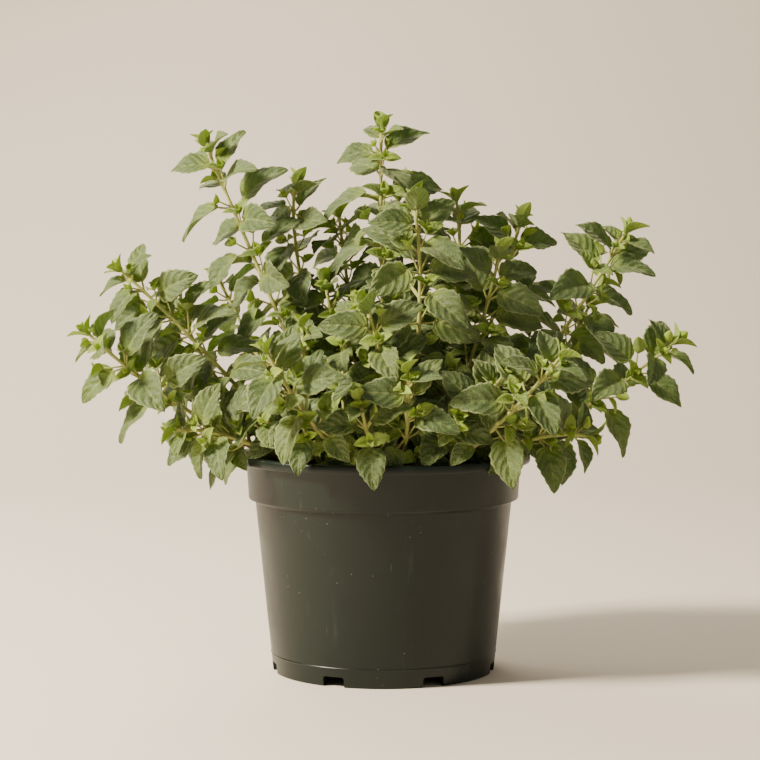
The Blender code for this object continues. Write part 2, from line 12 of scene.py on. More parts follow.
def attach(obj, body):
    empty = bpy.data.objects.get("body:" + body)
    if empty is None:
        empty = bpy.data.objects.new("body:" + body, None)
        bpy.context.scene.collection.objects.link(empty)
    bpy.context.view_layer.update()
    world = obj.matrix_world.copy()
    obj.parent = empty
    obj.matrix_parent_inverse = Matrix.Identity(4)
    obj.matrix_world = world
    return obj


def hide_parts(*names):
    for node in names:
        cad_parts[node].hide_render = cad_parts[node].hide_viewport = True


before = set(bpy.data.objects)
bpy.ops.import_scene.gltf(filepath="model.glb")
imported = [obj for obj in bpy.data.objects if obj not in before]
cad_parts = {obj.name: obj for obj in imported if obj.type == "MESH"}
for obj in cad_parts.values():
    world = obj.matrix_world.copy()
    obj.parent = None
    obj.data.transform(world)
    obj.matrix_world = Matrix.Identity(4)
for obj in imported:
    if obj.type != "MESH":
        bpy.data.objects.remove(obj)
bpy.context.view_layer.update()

# The plant is laid out here with the rules and seeds of the solids, so every stem and leaf lies where its
# solid does. Lengths are in millimetres and are turned into metres when a mesh is made.

MM = 0.001
GAP = 0.3

# Pot
LIP_RADIUS = 76.0
POT_HEIGHT = 112.7
LIP_HEIGHT = 4.6
LIP_INNER_RADIUS = 70.4
LIP_UNDER_INSET = 0.6
LIP_BULGE_SHARE = 0.35
LIP_SHOULDER_INSET = 0.7
LIP_SHOULDER_DROP = 0.9
LIP_CREST_INSET = 2.2
COLLAR_RADIUS = 70.9
COLLAR_FOOT_RADIUS = 69.8
COLLAR_FOOT_Z = 89.3
INNER_STEP_HEIGHT = 3.0
BODY_TOP_RADIUS = 66.5
FOOT_RADIUS = 57.4
WALL = 1.5
BASE_BOTTOM_Z = 6.0
BASE_THICKNESS = 1.8
FOOT_RING_WIDTH = 3.2
NOTCHES = 7
NOTCH_WIDTH = 11.5
NOTCH_HEIGHT = 5.2
FIRST_NOTCH_DEG = -90.0 + 180.0 / 7
DRAIN_RADIUS = 3.6
DRAIN_RING_RADIUS = 42.0
CUTTER_OVERRUN = 1.0
LIP_ROOM_SIDES = 32

# Potting mix
SOIL_TOP_Z = 102.5
SOIL_CROWN = 2.4
SOIL_SIDES = 40
SOIL_STEP_RISE = 1.0
SOIL_RING_SHARES = (1.0, 0.66, 0.33)
SOCKET_DEPTH = 13.0
STEM_RISE = 2.0

# Stems and leaves
STEM_FOOT_HALF_WIDTH = 1.35
STEM_TIP_HALF_WIDTH = 0.75
STEM_POINTS = 40
STEM_ROOM_RINGS = 24
LEAF_WIDTH_SHARE = 0.68
LEAF_THICKNESS = 0.7
SMALL_LEAF = 19.7
BLADE_SECTIONS = ((0.2, 0.92), (0.62, 0.8))
SMALL_BLADE_SECTIONS = ((0.38, 1.0),)
BLADE_ARCH = 0.06
BLADE_FOLD = 0.28
TIP_POINT = 0.04
TEST_MARGIN = 0.7
STALK_ROOM = 0.9
STALK_ROOM_START = 0.45
STALK_FOOT_ROOM = 1.3
LEAF_SWING = 9
LEAF_ROLL = 12
LEAF_SIZES = (0.9, 1.08)
LEAF_TRIES = 26
RETRY_YAWS = (-40, 40)
RETRY_PITCHES = (-34, 30)
LEAF_SHRINK = 0.975
LEAST_HEIGHT = 6.0
SHOOT_TRIES = 90
SPIRAL_TURN = 2.4
SPIRAL_STEP = 1.1
STEM_ROOM = 1.0
NODE_DISTANCES = (3.0, 9.0, 17.0, 27.0, 38.0, 50.0, 63.0, 78.0, 94.0, 111.0)
LEAF_LENGTHS = (11.0, 18.0, 22.5, 24.5, 25.0, 25.0, 24.0, 23.0, 21.0, 19.0)
PETIOLE_LENGTHS = (1.5, 3.5, 5.5, 7.0, 8.0, 8.0, 8.0, 7.5, 7.0, 7.0)
BLADE_PITCHES = (58.0, 38.0, 20.0, 6.0, -8.0, -18.0, -24.0, -28.0, -30.0, -32.0)
STALK_LIFT_DEG = 28.0
STALK_TOP_DEG = 70.0
SKYWARD = 0.8

# How far a blade turns its face to its light: out of the plant, up, left and, up to REAR_Y, to the front
FACE_OUT = 0.5
FACE_LEFT = 0.2
FACE_FRONT = 1.0
FACE_UP = 0.5
FACING = 0.78
FACING_PAIR = 2
REAR_Y = 70.0
REAR_SPAN = 60.0

Shoot = namedtuple("Shoot", "name foot knee tip pairs leaf turn")

# Shoots that show from the front: foot on the mix, a point midway, and the growing tip
FRONT_SHOOTS = (
    Shoot("shoot_left_tall", (-22, 8), (-62, 13, 200), (-94, 22, 274), 9, 1.0, 20),
    Shoot("shoot_left_high", (-40, -4), (-92, -6, 165), (-136, -8, 208), 8, 1.0, 50),
    Shoot("shoot_left_inner", (-44, 12), (-92, 8, 158), (-105, 2, 203), 5, 0.8, 5),
    Shoot("shoot_back_left", (-18, 26), (-43, 22, 200), (-46, 30, 254), 8, 0.95, 35),
    Shoot("shoot_centre_tall", (2, 2), (-1, 6, 215), (-1, 10, 283), 9, 1.0, 12),
    Shoot("shoot_centre_back", (-6, 38), (-18, 42, 190), (-24, 48, 237), 7, 0.9, 60),
    Shoot("shoot_centre_front", (10, -26), (18, -34, 185), (15, -28, 243), 8, 1.0, 40),
    Shoot("shoot_right_inner", (22, 14), (38, 20, 190), (38, 25, 245), 8, 0.95, 70),
    Shoot("shoot_right_back", (34, 28), (60, 24, 190), (73, 30, 235), 8, 0.95, 15),
    Shoot("shoot_right_mid", (26, -8), (48, -10, 172), (60, -5, 218), 7, 1.0, 30),
    Shoot("shoot_right_tall", (46, 8), (98, 6, 182), (127, 12, 228), 8, 1.0, 55),
    Shoot("shoot_right_low", (50, -8), (106, -14, 139), (150, -10, 171), 8, 1.0, 80),
    Shoot("shoot_front_right", (28, -40), (60, -64, 136), (87, -70, 167), 7, 1.0, 25),
    Shoot("shoot_front_left", (-14, -42), (-38, -69, 138), (-57, -79, 170), 7, 1.0, 65),
    Shoot("shoot_front_middle", (-6, -22), (-2, -50, 158), (-10, -52, 192), 6, 0.95, 10),
    Shoot("shoot_front_low", (8, -46), (12, -64, 136), (11, -70, 160), 5, 0.95, 45),
    Shoot("shoot_left_low", (-46, -12), (-104, -23, 139), (-151, -20, 176), 8, 1.0, 75),
    Shoot("shoot_left_rim", (-40, -20), (-78, -36, 124), (-106, -42, 127), 6, 0.95, 0),
    Shoot("shoot_right_rim", (38, -22), (76, -38, 123), (104, -44, 124), 6, 0.95, 35),
)

# Shoots that the front hides
REAR_SHOOTS = (
    Shoot("shoot_rear_left", (-36, 30), (-68, 54, 160), (-92, 70, 205), 8, 1.0, 10),
    Shoot("shoot_rear_left_low", (-30, 42), (-50, 68, 136), (-62, 83, 156), 6, 1.0, 50),
    Shoot("shoot_rear_middle", (-8, 48), (-12, 66, 150), (-14, 73, 192), 7, 1.0, 30),
    Shoot("shoot_rear_right", (18, 46), (34, 66, 158), (40, 76, 208), 8, 1.0, 70),
    Shoot("shoot_rear_right_low", (36, 38), (62, 66, 134), (80, 84, 150), 6, 1.0, 20),
    Shoot("shoot_rear_far_right", (48, 20), (88, 44, 150), (112, 58, 188), 8, 1.0, 60),
    Shoot("shoot_rear_far_left", (-48, 14), (-94, 36, 142), (-124, 48, 172), 8, 1.0, 40),
    Shoot("shoot_rear_centre", (6, 20), (10, 34, 180), (8, 44, 246), 8, 0.95, 85),
)

# Short young shoots: rings of them, each with its count, foot, knee and tip radius, knee and tip height
YoungRing = namedtuple("YoungRing", "count foot knee tip knee_z tip_z start_deg")
YOUNG_RINGS = (
    YoungRing(14, 50.0, 62.0, 80.0, 122.0, 140.0, 9.0),
    YoungRing(10, 30.0, 40.0, 48.0, 134.0, 166.0, 24.0),
    YoungRing(6, 14.0, 20.0, 26.0, 152.0, 200.0, 50.0),
)
YOUNG_SEED = 11
YOUNG_SPREAD = 7.0
YOUNG_TURN = 0.12
YOUNG_KNEE_RISE = (-2, 5)
YOUNG_TIP_RISE = (-8, 18)
YOUNG_PAIRS = 5
YOUNG_LEAF = 0.86

Leaf = namedtuple("Leaf", "shoot pair side root base tip normal length width")

# Camera, as found from the pot in the photo, for a square frame
CAMERA_DISTANCE = 1127.3
CAMERA_HEIGHT = 217.4
CAMERA_TILT = 0.0596
CAMERA_YAW = 0.0016
FOCAL_PIXELS = 2182.1
FRAME_PIXELS = 760
SENSOR_WIDTH = 36.0

# Fine leaves: rows along the blade, and places across it from edge to edge
Grid = namedtuple("Grid", "rows columns")
FINE_GRID = Grid(21, (-1.0, -0.87, -0.64, -0.37, -0.13, 0.0, 0.13, 0.37, 0.64, 0.87, 1.0))
REAR_GRID = Grid(15, (-1.0, -0.7, -0.25, 0.0, 0.25, 0.7, 1.0))
BUD_GRID = Grid(8, (-1.0, -0.6, 0.0, 0.6, 1.0))
TINY_GRID = Grid(5, (-1.0, 0.0, 1.0))
BUD_LEAF = 4.5
TEETH = 6
TOOTH_DEPTH = 0.15
VEIN_PAIRS = 4.6
VEIN_SWEEP = 0.4
VEIN_CURVE = 1.4
FULL_GROWN = 20.0
NEW_GROWN = 4.0
YOUNG_SHARE = 0.4
EVEN_ROWS = 0.75
WIDEST_SHIFT = 0.64
ROUNDNESS = 0.68
TIP_NARROWING = 0.22
TOOTH_SLANT = 1.4
TOOTH_LEVEL = 0.4
BLADE_FILL = 0.95
BLADE_FOOT = 0.32
BLADE_POINT = 0.1
HEART_DEPTH = 0.06
HEART_LENGTH = 0.14
YOUNG_FOLD = 0.6
FOLD_OPENING = 0.34
FOLD_SPREAD = 0.08

# Relief of a blade, in shares of its length
CUSHION_HEIGHT = 0.043
MIDRIB_DEPTH = 0.02
WAVE_HEIGHT = 0.034
ARCH_HEIGHT = 0.07
DROOPS = (-0.02, 0.1)

# Waves along a blade, its twist, and how far across it the midrib and the rib under it spread
WAVES = 1.4
TWIST = 0.28
MIDRIB_SPREAD = 0.1
RIB_SPREAD = 0.09

# Thickness of a grown blade, the share of it that the edge loses, and the rib under the midrib
BLADE_THICKNESS = 0.32
EDGE_THINNING = 0.6
RIB_HEIGHT = 0.34

# Map of a patch: the margin of its cell, the two sheets of a blade with the rim round the upper one, and the
# wall and ends of a tube
CELL_MARGIN = 0.05
SHEET_EDGE = 0.03
SHEET_WIDTH = 0.4
SHEET_HEIGHT = 0.94
SHEET_SHIFT = 0.52
RIM_GROWTH = (1.14, 1.05)
WALL_SPAN = (0.08, 0.92)
END_RADIUS = 0.03

# Fine stems and stalks
STEM_SIDES = 10
STEM_STEP = 3.0
NODE_SWELL = 0.3
NODE_SWELL_LENGTH = 1.6
STALK_SIDES = 6
STALK_RINGS = 5
STALK_RADIUS = 0.52
STALK_BOW = 0.06
STALK_OVERLAP = 0.04
STALK_FOOT_SHARE = 1.25
STALK_THINNING = 0.35
STALK_LEAST_SHARE = 0.2
STALK_GREEN = 0.55
STEM_FILL = 0.92
BLUNT_TIP = 0.5

# Leaves at the growing tip, above the pairs that the solids have: distance from the tip, length and pitch
TIP_PAIRS = ((2.4, 11.5, 40.0), (1.3, 8.5, 54.0), (0.4, 5.5, 70.0))
TIP_AGES = (0.3, 0.12, 0.0)
TIP_SWING = 6
TIP_SIZES = (0.85, 1.15)
TIP_WIDTH_SHARE = 0.64
TIP_ROOT_SHARE = 0.6

# Side shoots in the leaf joints
AXIL_SHARE = 0.9
AXIL_STALK = (1.5, 15.0)
AXIL_LEAF = (5.0, 12.0)
AXIL_LEANS = (0.5, 1.2)
AXIL_VIGOURS = (0.35, 1.0)
AXIL_SIZES = (0.85, 1.1)
AXIL_FULL_PAIR = 4
AXIL_ROOT_SHARE = 0.8
AXIL_ROOT_RISE = 1.0
AXIL_FOOT = 0.6
AXIL_STALK_SHARE = 0.8
AXIL_GREEN = 0.95
TWO_TIER_STALK = 7.0
SMALL_STALK_ROOM = 0.2
SMALL_MARGIN = 0.1
FIRST_SEED = 9000

# Pairs of leaves of a side shoot: share up its stalk, size and pitch
OPEN_TIER = (0.92, 1.0, 30.0)
BUD_TIER = (1.0, 0.55, 58.0)
LOW_TIER = (0.5, 1.0, 8.0)

# Material slots of a shoot's piece
LEAF_SLOT = 0
STEM_SLOT = 1


def turned_solid(profile, sides):
    """A solid of an outline that runs from the axis at the bottom to the axis at the top."""
    vertices = [(0.0, 0.0, profile[0][1])]
    faces = []
    rings = profile[1:-1]
    for radius, z in rings:
        for turn in range(sides):
            angle = 2 * math.pi * turn / sides
            vertices.append((radius * math.cos(angle), radius * math.sin(angle), z))
    vertices.append((0.0, 0.0, profile[-1][1]))
    top = len(vertices) - 1
    last = 1 + (len(rings) - 1) * sides
    for turn in range(sides):
        after = (turn + 1) % sides
        faces.append((0, 1 + after, 1 + turn))
        faces.append((top, last + turn, last + after))
        for ring in range(len(rings) - 1):
            low = 1 + ring * sides
            high = low + sides
            faces.append((low + turn, low + after, high + after, high + turn))
    return vertices, faces


def body_radius(z):
    """Outer radius of the tapered body at height z."""
    return FOOT_RADIUS + (BODY_TOP_RADIUS - FOOT_RADIUS) * z / COLLAR_FOOT_Z


def pot_inner_radius(z):
    """Radius of the inside of the wall at height z."""
    if z < COLLAR_FOOT_Z:
        return body_radius(z) - WALL
    share = (z - COLLAR_FOOT_Z) / (POT_HEIGHT - LIP_HEIGHT - COLLAR_FOOT_Z)
    return COLLAR_FOOT_RADIUS + (COLLAR_RADIUS - COLLAR_FOOT_RADIUS) * share - WALL


def inner_wall():
    """The inside of the pot: from under its lip down to the top of its base."""
    heights = (POT_HEIGHT - LIP_HEIGHT, COLLAR_FOOT_Z, COLLAR_FOOT_Z - INNER_STEP_HEIGHT,
               BASE_BOTTOM_Z + BASE_THICKNESS)
    return [(pot_inner_radius(z), z) for z in heights]


def pot_room():
    """The plain pot, for testing room: up the outside, over the lip and down the inside."""
    lip_z = POT_HEIGHT - LIP_HEIGHT
    profile = [
        (0.0, 0.0),
        (FOOT_RADIUS, 0.0),
        (BODY_TOP_RADIUS, COLLAR_FOOT_Z),
        (COLLAR_FOOT_RADIUS, COLLAR_FOOT_Z),
        (COLLAR_RADIUS, lip_z),
        (LIP_RADIUS - LIP_UNDER_INSET, lip_z),
        (LIP_RADIUS, lip_z + LIP_HEIGHT * LIP_BULGE_SHARE),
        (LIP_RADIUS - LIP_SHOULDER_INSET, POT_HEIGHT - LIP_SHOULDER_DROP),
        (LIP_RADIUS - LIP_CREST_INSET, POT_HEIGHT),
        (LIP_INNER_RADIUS, POT_HEIGHT),
        *inner_wall(),
        (0.0, BASE_BOTTOM_Z + BASE_THICKNESS),
    ]
    return turned_solid(profile, LIP_ROOM_SIDES)


def soil_top(radius):
    """Height of the mix at a distance from the axis, before its lumps."""
    return SOIL_TOP_Z + SOIL_CROWN * (1.0 - (radius / pot_inner_radius(SOIL_TOP_Z)) ** 2)


def soil_side():
    """The mix's outline under its top: base, wall and the step under the collar."""
    base = BASE_BOTTOM_Z + BASE_THICKNESS + GAP
    step_z = COLLAR_FOOT_Z - INNER_STEP_HEIGHT
    return [
        (0.0, base),
        (pot_inner_radius(base) - GAP, base),
        (pot_inner_radius(step_z) - GAP, step_z),
        (pot_inner_radius(COLLAR_FOOT_Z) - GAP, COLLAR_FOOT_Z + SOIL_STEP_RISE),
    ]


def soil_shape():
    profile = soil_side()
    rim = pot_inner_radius(SOIL_TOP_Z) - GAP
    for share in SOIL_RING_SHARES:
        profile.append((rim * share, soil_top(rim * share)))
    profile.append((0.0, soil_top(0.0)))
    return turned_solid(profile, SOIL_SIDES)


class Stem:
    """A square stem: upright in the mix, then on a curve through its knee to its tip."""

    def __init__(self, shoot):
        self.shoot = shoot
        start = Vector((*shoot.foot, soil_top(math.hypot(*shoot.foot)) + STEM_RISE))
        tip = Vector(shoot.tip)
        bend = 2 * Vector(shoot.knee) - (start + tip) / 2
        shares = [i / STEM_POINTS for i in range(STEM_POINTS + 1)]
        points = [start.lerp(bend, t).lerp(bend.lerp(tip, t), t) for t in shares]
        self.foot = start - Vector((0.0, 0.0, SOCKET_DEPTH + STEM_RISE))
        self.points = [self.foot] + points
        self.lengths = [0.0]
        for before, after in zip(self.points, self.points[1:]):
            self.lengths.append(self.lengths[-1] + (after - before).length)
        self.length = self.lengths[-1]
        self.start = self.lengths[1]
        self.frames = self.turned_frames()

    def turned_frames(self):
        """A side direction at each point, carried along the curve without twisting."""
        side = Matrix.Rotation(math.radians(self.shoot.turn), 3, "Z") @ Vector((1, 0, 0))
        frames = []
        for i in range(len(self.points)):
            ahead = self.points[min(i + 1, len(self.points) - 1)]
            behind = self.points[max(i - 1, 0)]
            along = (ahead - behind).normalized()
            side = (side - along * side.dot(along)).normalized()
            frames.append((along, side.copy()))
        return frames

    def at(self, distance):
        """Centre, direction and side of the stem at a distance along it from the foot."""
        distance = min(max(distance, 0.0), self.length)
        i = 0
        while i < len(self.lengths) - 2 and self.lengths[i + 1] < distance:
            i += 1
        share = (distance - self.lengths[i]) / (self.lengths[i + 1] - self.lengths[i])
        centre = self.points[i].lerp(self.points[i + 1], share)
        along = self.frames[i][0].lerp(self.frames[i + 1][0], share).normalized()
        side = self.frames[i][1].lerp(self.frames[i + 1][1], share)
        side = (side - along * side.dot(along)).normalized()
        return centre, along, side

    def half_width(self, distance):
        share = distance / self.length
        thin = STEM_TIP_HALF_WIDTH
        return STEM_FOOT_HALF_WIDTH + (thin - STEM_FOOT_HALF_WIDTH) * share

    def corners(self, distance, half_width):
        """The four corners of the square section."""
        centre, along, side = self.at(distance)
        other = along.cross(side)
        return [
            centre + (side * a + other * b) * half_width
            for a, b in ((1, -1), (1, 1), (-1, 1), (-1, -1))
        ]

    def tube(self, extra):
        """A plain tube round the stem, wider by extra, for testing room."""
        stations = [self.length * i / STEM_ROOM_RINGS for i in range(STEM_ROOM_RINGS + 1)]
        return ring_solid([self.corners(at, self.half_width(at) + extra) for at in stations])


def ring_solid(rings):
    """A closed solid through rings of four corners each."""
    vertices = [corner for ring in rings for corner in ring]
    faces = [(3, 2, 1, 0)]
    for i in range(len(rings) - 1):
        low = 4 * i
        for k in range(4):
            j = (k + 1) % 4
            faces.append((low + k, low + j, low + 4 + j, low + 4 + k))
    last = 4 * (len(rings) - 1)
    faces.append((last, last + 1, last + 2, last + 3))
    return vertices, faces


def tree_of(shape):
    return BVHTree.FromPolygons(*shape)


def young_shoots():
    """The rings of short shoots, each a little off its even place."""
    chance = random.Random(YOUNG_SEED)
    made = []
    for ring in YOUNG_RINGS:
        for i in range(ring.count):
            angle = math.radians(ring.start_deg) + 2 * math.pi * i / ring.count

            def around(radius):
                reach = radius + chance.uniform(-YOUNG_SPREAD, YOUNG_SPREAD) * radius / ring.tip
                turn = angle + chance.uniform(-YOUNG_TURN, YOUNG_TURN)
                return (reach * math.cos(turn), reach * math.sin(turn))

            foot = around(ring.foot)
            knee = (*around(ring.knee), ring.knee_z + chance.uniform(*YOUNG_KNEE_RISE))
            tip = (*around(ring.tip), ring.tip_z + chance.uniform(*YOUNG_TIP_RISE))
            name = f"young_shoot_{len(made) + 1:02d}"
            made.append(Shoot(name, foot, knee, tip, YOUNG_PAIRS, YOUNG_LEAF, chance.uniform(0, 90)))
    return made


def moved(shoot, attempt):
    """The shoot with its foot and knee moved out on a spiral, further at each attempt."""
    angle = attempt * SPIRAL_TURN
    reach = SPIRAL_STEP * math.sqrt(attempt)
    step = (reach * math.cos(angle), reach * math.sin(angle))
    foot = (shoot.foot[0] + step[0], shoot.foot[1] + step[1])
    knee = (shoot.knee[0] + step[0], shoot.knee[1] + step[1], shoot.knee[2])
    return shoot._replace(foot=foot, knee=knee)


def placed_stems():
    """Each stem, moved a little where it would run into an earlier one or into the lip."""
    stems = []
    trees = [tree_of(pot_room())]
    for shoot in (*FRONT_SHOOTS, *REAR_SHOOTS, *young_shoots()):
        for attempt in range(SHOOT_TRIES):
            stem = Stem(moved(shoot, attempt))
            tree = tree_of(stem.tube(STEM_ROOM))
            if not any(tree.overlap(other) for other in trees):
                stems.append(stem)
                trees.append(tree_of(stem.tube(GAP)))
                break
    return stems


def blade_rings(leaf, margin):
    """Four corners a ring across the blade, folded up along its midrib."""
    along = leaf.tip - leaf.base
    right = along.normalized().cross(leaf.normal)
    half = leaf.width / 2 + margin
    thick = LEAF_THICKNESS / 2 + margin
    rings = []
    for share, width in BLADE_SECTIONS if leaf.length > SMALL_LEAF else SMALL_BLADE_SECTIONS:
        arch = leaf.normal * leaf.length * BLADE_ARCH * math.sin(math.pi * share)
        middle = leaf.base + along * share + arch
        fold = leaf.normal * half * width * BLADE_FOLD
        rings.append([
            middle - right * half * width + fold,
            middle - leaf.normal * thick,
            middle + right * half * width + fold,
            middle + leaf.normal * thick,
        ])
    return rings


def petiole_ring(leaf, share, half_width):
    """Four corners round the petiole at a share of its length."""
    middle = leaf.root.lerp(leaf.base, share)
    along = (leaf.base - leaf.root).normalized()
    across = (leaf.tip - leaf.base).cross(leaf.normal)
    right = (across - along * across.dot(along)).normalized()
    up = right.cross(along)
    return [
        middle - right * half_width,
        middle - up * half_width,
        middle + right * half_width,
        middle + up * half_width,
    ]


def leaf_room(leaf):
    """The leaf a little larger than it is, from just off its stem, for testing room."""
    rings = [petiole_ring(leaf, STALK_ROOM_START, STALK_ROOM), petiole_ring(leaf, 1.0, STALK_ROOM)]
    rings += blade_rings(leaf, TEST_MARGIN)
    tip = leaf.tip + (leaf.tip - leaf.base).normalized() * TEST_MARGIN
    rings.append([tip + (corner - tip) * TIP_POINT for corner in rings[-1]])
    return ring_solid(rings)


def faced(blade, normal, place, pair):
    """The blade with its upper face turned to its light, more so below the tuft at the tip."""
    outward = Vector((place.x, place.y, 0.0)).normalized()
    front = FACE_FRONT * min(max((REAR_Y - place.y) / REAR_SPAN, 0.0), 1.0)
    light = (outward * FACE_OUT + Vector((-FACE_LEFT, -front, FACE_UP))).normalized()
    share = FACING * min(pair / FACING_PAIR, 1.0)
    blade = (blade - light * blade.dot(light) * share).normalized()
    normal = normal.lerp(light, share)
    return blade, (normal - blade * normal.dot(blade)).normalized()


def leaf_candidate(stem, shoot_number, pair, side, attempt):
    """One leaf of a pair, turned, lifted and sized by its place on the shoot and by the attempt."""
    chance = random.Random(shoot_number * 1000 + pair * 10 + side)
    yaw = chance.gauss(0, LEAF_SWING)
    pitch = BLADE_PITCHES[pair] + chance.gauss(0, LEAF_SWING)
    roll = chance.gauss(0, LEAF_ROLL)
    size = stem.shoot.leaf * chance.uniform(*LEAF_SIZES)
    for _ in range(attempt):
        yaw = chance.uniform(*RETRY_YAWS)
        pitch = BLADE_PITCHES[pair] + chance.uniform(*RETRY_PITCHES)
        size *= LEAF_SHRINK
    distance = stem.length - NODE_DISTANCES[pair]
    centre, along, first_side = stem.at(distance)
    quarter = first_side if pair % 2 == 0 else along.cross(first_side)
    out = quarter if side == 0 else -quarter
    root = centre + out * stem.half_width(distance)
    out = Matrix.Rotation(math.radians(yaw), 3, along) @ out
    up = (along + Vector((0.0, 0.0, SKYWARD))).normalized()
    up = (up - out * up.dot(out)).normalized()
    lift = math.radians(pitch)
    blade = (out * math.cos(lift) + up * math.sin(lift)).normalized()
    rise = math.radians(min(pitch + STALK_LIFT_DEG, STALK_TOP_DEG))
    stalk = (out * math.cos(rise) + up * math.sin(rise)).normalized()
    normal = (up * math.cos(lift) - out * math.sin(lift)).normalized()
    length = LEAF_LENGTHS[pair] * size
    base = root + stalk * PETIOLE_LENGTHS[pair] * stem.shoot.leaf
    blade, normal = faced(blade, normal, base, pair)
    normal = Matrix.Rotation(math.radians(roll), 3, blade) @ normal
    return Leaf(stem.shoot.name, pair, side, root, base, base + blade * length, normal, length,
                length * LEAF_WIDTH_SHARE)


def stalk_room(leaf):
    """The foot of the leaf's stalk, where it widens into its own stem, for testing room."""
    return ring_solid([petiole_ring(leaf, 0.0, STALK_FOOT_ROOM), petiole_ring(leaf, 0.5, STALK_FOOT_ROOM)])


class Room:
    """What already stands in the plant's space, so that the next leaf can be tested against it."""

    def __init__(self, stems):
        self.stems = {stem.shoot.name: tree_of(stem.tube(GAP)) for stem in stems}
        self.fixed = [tree_of(pot_room()), tree_of(soil_shape())]
        self.taken = []

    def take(self, leaf, *shapes):
        """Takes the space if the shapes run into nothing, where only the first keeps off its own stem."""
        middle = (leaf.base + leaf.tip) / 2
        trees = [tree_of(shape) for shape in shapes]
        others = [tree for name, tree in self.stems.items() if name != leaf.shoot] + self.fixed
        others += [tree for centre, reach, tree in self.taken
                   if (centre - middle).length < reach + leaf.length]
        if trees[0].overlap(self.stems[leaf.shoot]):
            return False
        if any(tree.overlap(other) for tree in trees for other in others):
            return False
        self.taken += [(middle, leaf.length, tree) for tree in trees]
        return True


def placed_leaves(stems, room):
    """Leaves from the tips down, each where it has room, so that no leaf runs through another."""
    leaves = []
    for pair in range(len(NODE_DISTANCES)):
        for number, stem in enumerate(stems):
            above_mix = stem.length - NODE_DISTANCES[pair] - stem.start
            if pair > stem.shoot.pairs or above_mix < LEAST_HEIGHT:
                continue
            for side in (0, 1):
                for attempt in range(LEAF_TRIES):
                    leaf = leaf_candidate(stem, number, pair, side, attempt)
                    if room.take(leaf, leaf_room(leaf), stalk_room(leaf)):
                        leaves.append(leaf)
                        break
    return leaves


def linked(name, data):
    obj = bpy.data.objects.new(name, data)
    bpy.context.scene.collection.objects.link(obj)
    return obj


class Skin:
    """Gathers the patches of one piece, and gives each patch a cell of the piece's map."""

    def __init__(self):
        self.points = []
        self.place = []
        self.info = []
        self.faces = []
        self.slots = []
        self.maps = []
        self.large = []
        self.count = 0

    def add(self, points, place, info, faces, slot, corners, large):
        """Adds one patch: corners holds the place of each face corner in the patch's own square."""
        self.points.append(points)
        self.place.append(place)
        self.info.append(info)
        self.faces += [[self.count + i for i in face] for face in faces]
        self.slots += [slot] * len(faces)
        self.maps.append(corners)
        self.large.append(large)
        self.count += len(points)

    def cells(self):
        """The corner and side of each patch's cell in a square map, where a large one has two a side."""
        large = [i for i, flag in enumerate(self.large) if flag]
        small = [i for i, flag in enumerate(self.large) if not flag]
        width = 2
        while 2 * math.ceil(len(large) / (width // 2)) + math.ceil(len(small) / width) > width:
            width += 2
        half = width // 2
        start = 2 * math.ceil(len(large) / half)
        cells = {i: (2 * (k % half), 2 * (k // half), 2) for k, i in enumerate(large)}
        cells.update({i: (k % width, start + k // width, 1) for k, i in enumerate(small)})
        return cells, width

    def piece(self, name, looks):
        mesh = bpy.data.meshes.new(name)
        points = np.concatenate(self.points) * MM
        mesh.from_pydata(points.tolist(), [], self.faces)
        for attribute, values in (("place", self.place), ("info", self.info)):
            layer = mesh.attributes.new(attribute, "FLOAT_VECTOR", "POINT")
            layer.data.foreach_set("vector", np.concatenate(values).astype(np.float32).ravel())
        cells, width = self.cells()
        corners = []
        for i, own in enumerate(self.maps):
            left, low, side = cells[i]
            inside = CELL_MARGIN + (1 - 2 * CELL_MARGIN) * own.reshape(-1, 2)
            corners.append((np.array((left, low)) + inside * side) / width)
        layer = mesh.uv_layers.new(name="OFBake")
        layer.data.foreach_set("uv", np.concatenate(corners).astype(np.float32).ravel())
        mesh.shade_smooth()
        for look in looks:
            mesh.materials.append(look)
        mesh.polygons.foreach_set("material_index", np.array(self.slots, np.int32))
        return linked(name, mesh)


def sheet_faces(rows, across):
    """Faces of a closed thin sheet whose upper grid comes before its lower one."""
    upper = np.arange((rows + 1) * across).reshape(rows + 1, across)
    shift = (rows + 1) * across
    lower = upper + shift
    top = np.stack([upper[:-1, :-1], upper[:-1, 1:], upper[1:, 1:], upper[1:, :-1]], -1)
    under = np.stack([lower[:-1, :-1], lower[1:, :-1], lower[1:, 1:], lower[:-1, 1:]], -1)
    edge = np.concatenate([upper[0, :-1], upper[:-1, -1], upper[-1, :0:-1], upper[:0:-1, 0]])
    after = np.roll(edge, -1)
    rim = np.stack([edge + shift, after + shift, after, edge], -1)
    return top.reshape(-1, 4), under.reshape(-1, 4), rim


def sheet_map(top, under, rim, u, v):
    """Map places: the upper sheet in the left half of the square, the under sheet in the right half."""
    flat = np.stack([SHEET_EDGE + SHEET_WIDTH * (0.5 + 0.5 * v), SHEET_EDGE + SHEET_HEIGHT * u], -1)
    count = len(flat)
    around = flat[rim % count]
    middle = np.array((SHEET_EDGE + SHEET_WIDTH / 2, 0.5))
    around[:, :2] = middle + (around[:, :2] - middle) * RIM_GROWTH
    lower = flat + (SHEET_SHIFT, 0.0)
    return np.concatenate([flat[top], lower[under - count], around])


def outline(u):
    """Half width of the blade at a share of its length: round at its base and pointed at its tip."""
    return np.sin(np.pi * u ** WIDEST_SHIFT) ** ROUNDNESS * (1 - TIP_NARROWING * u ** 4)


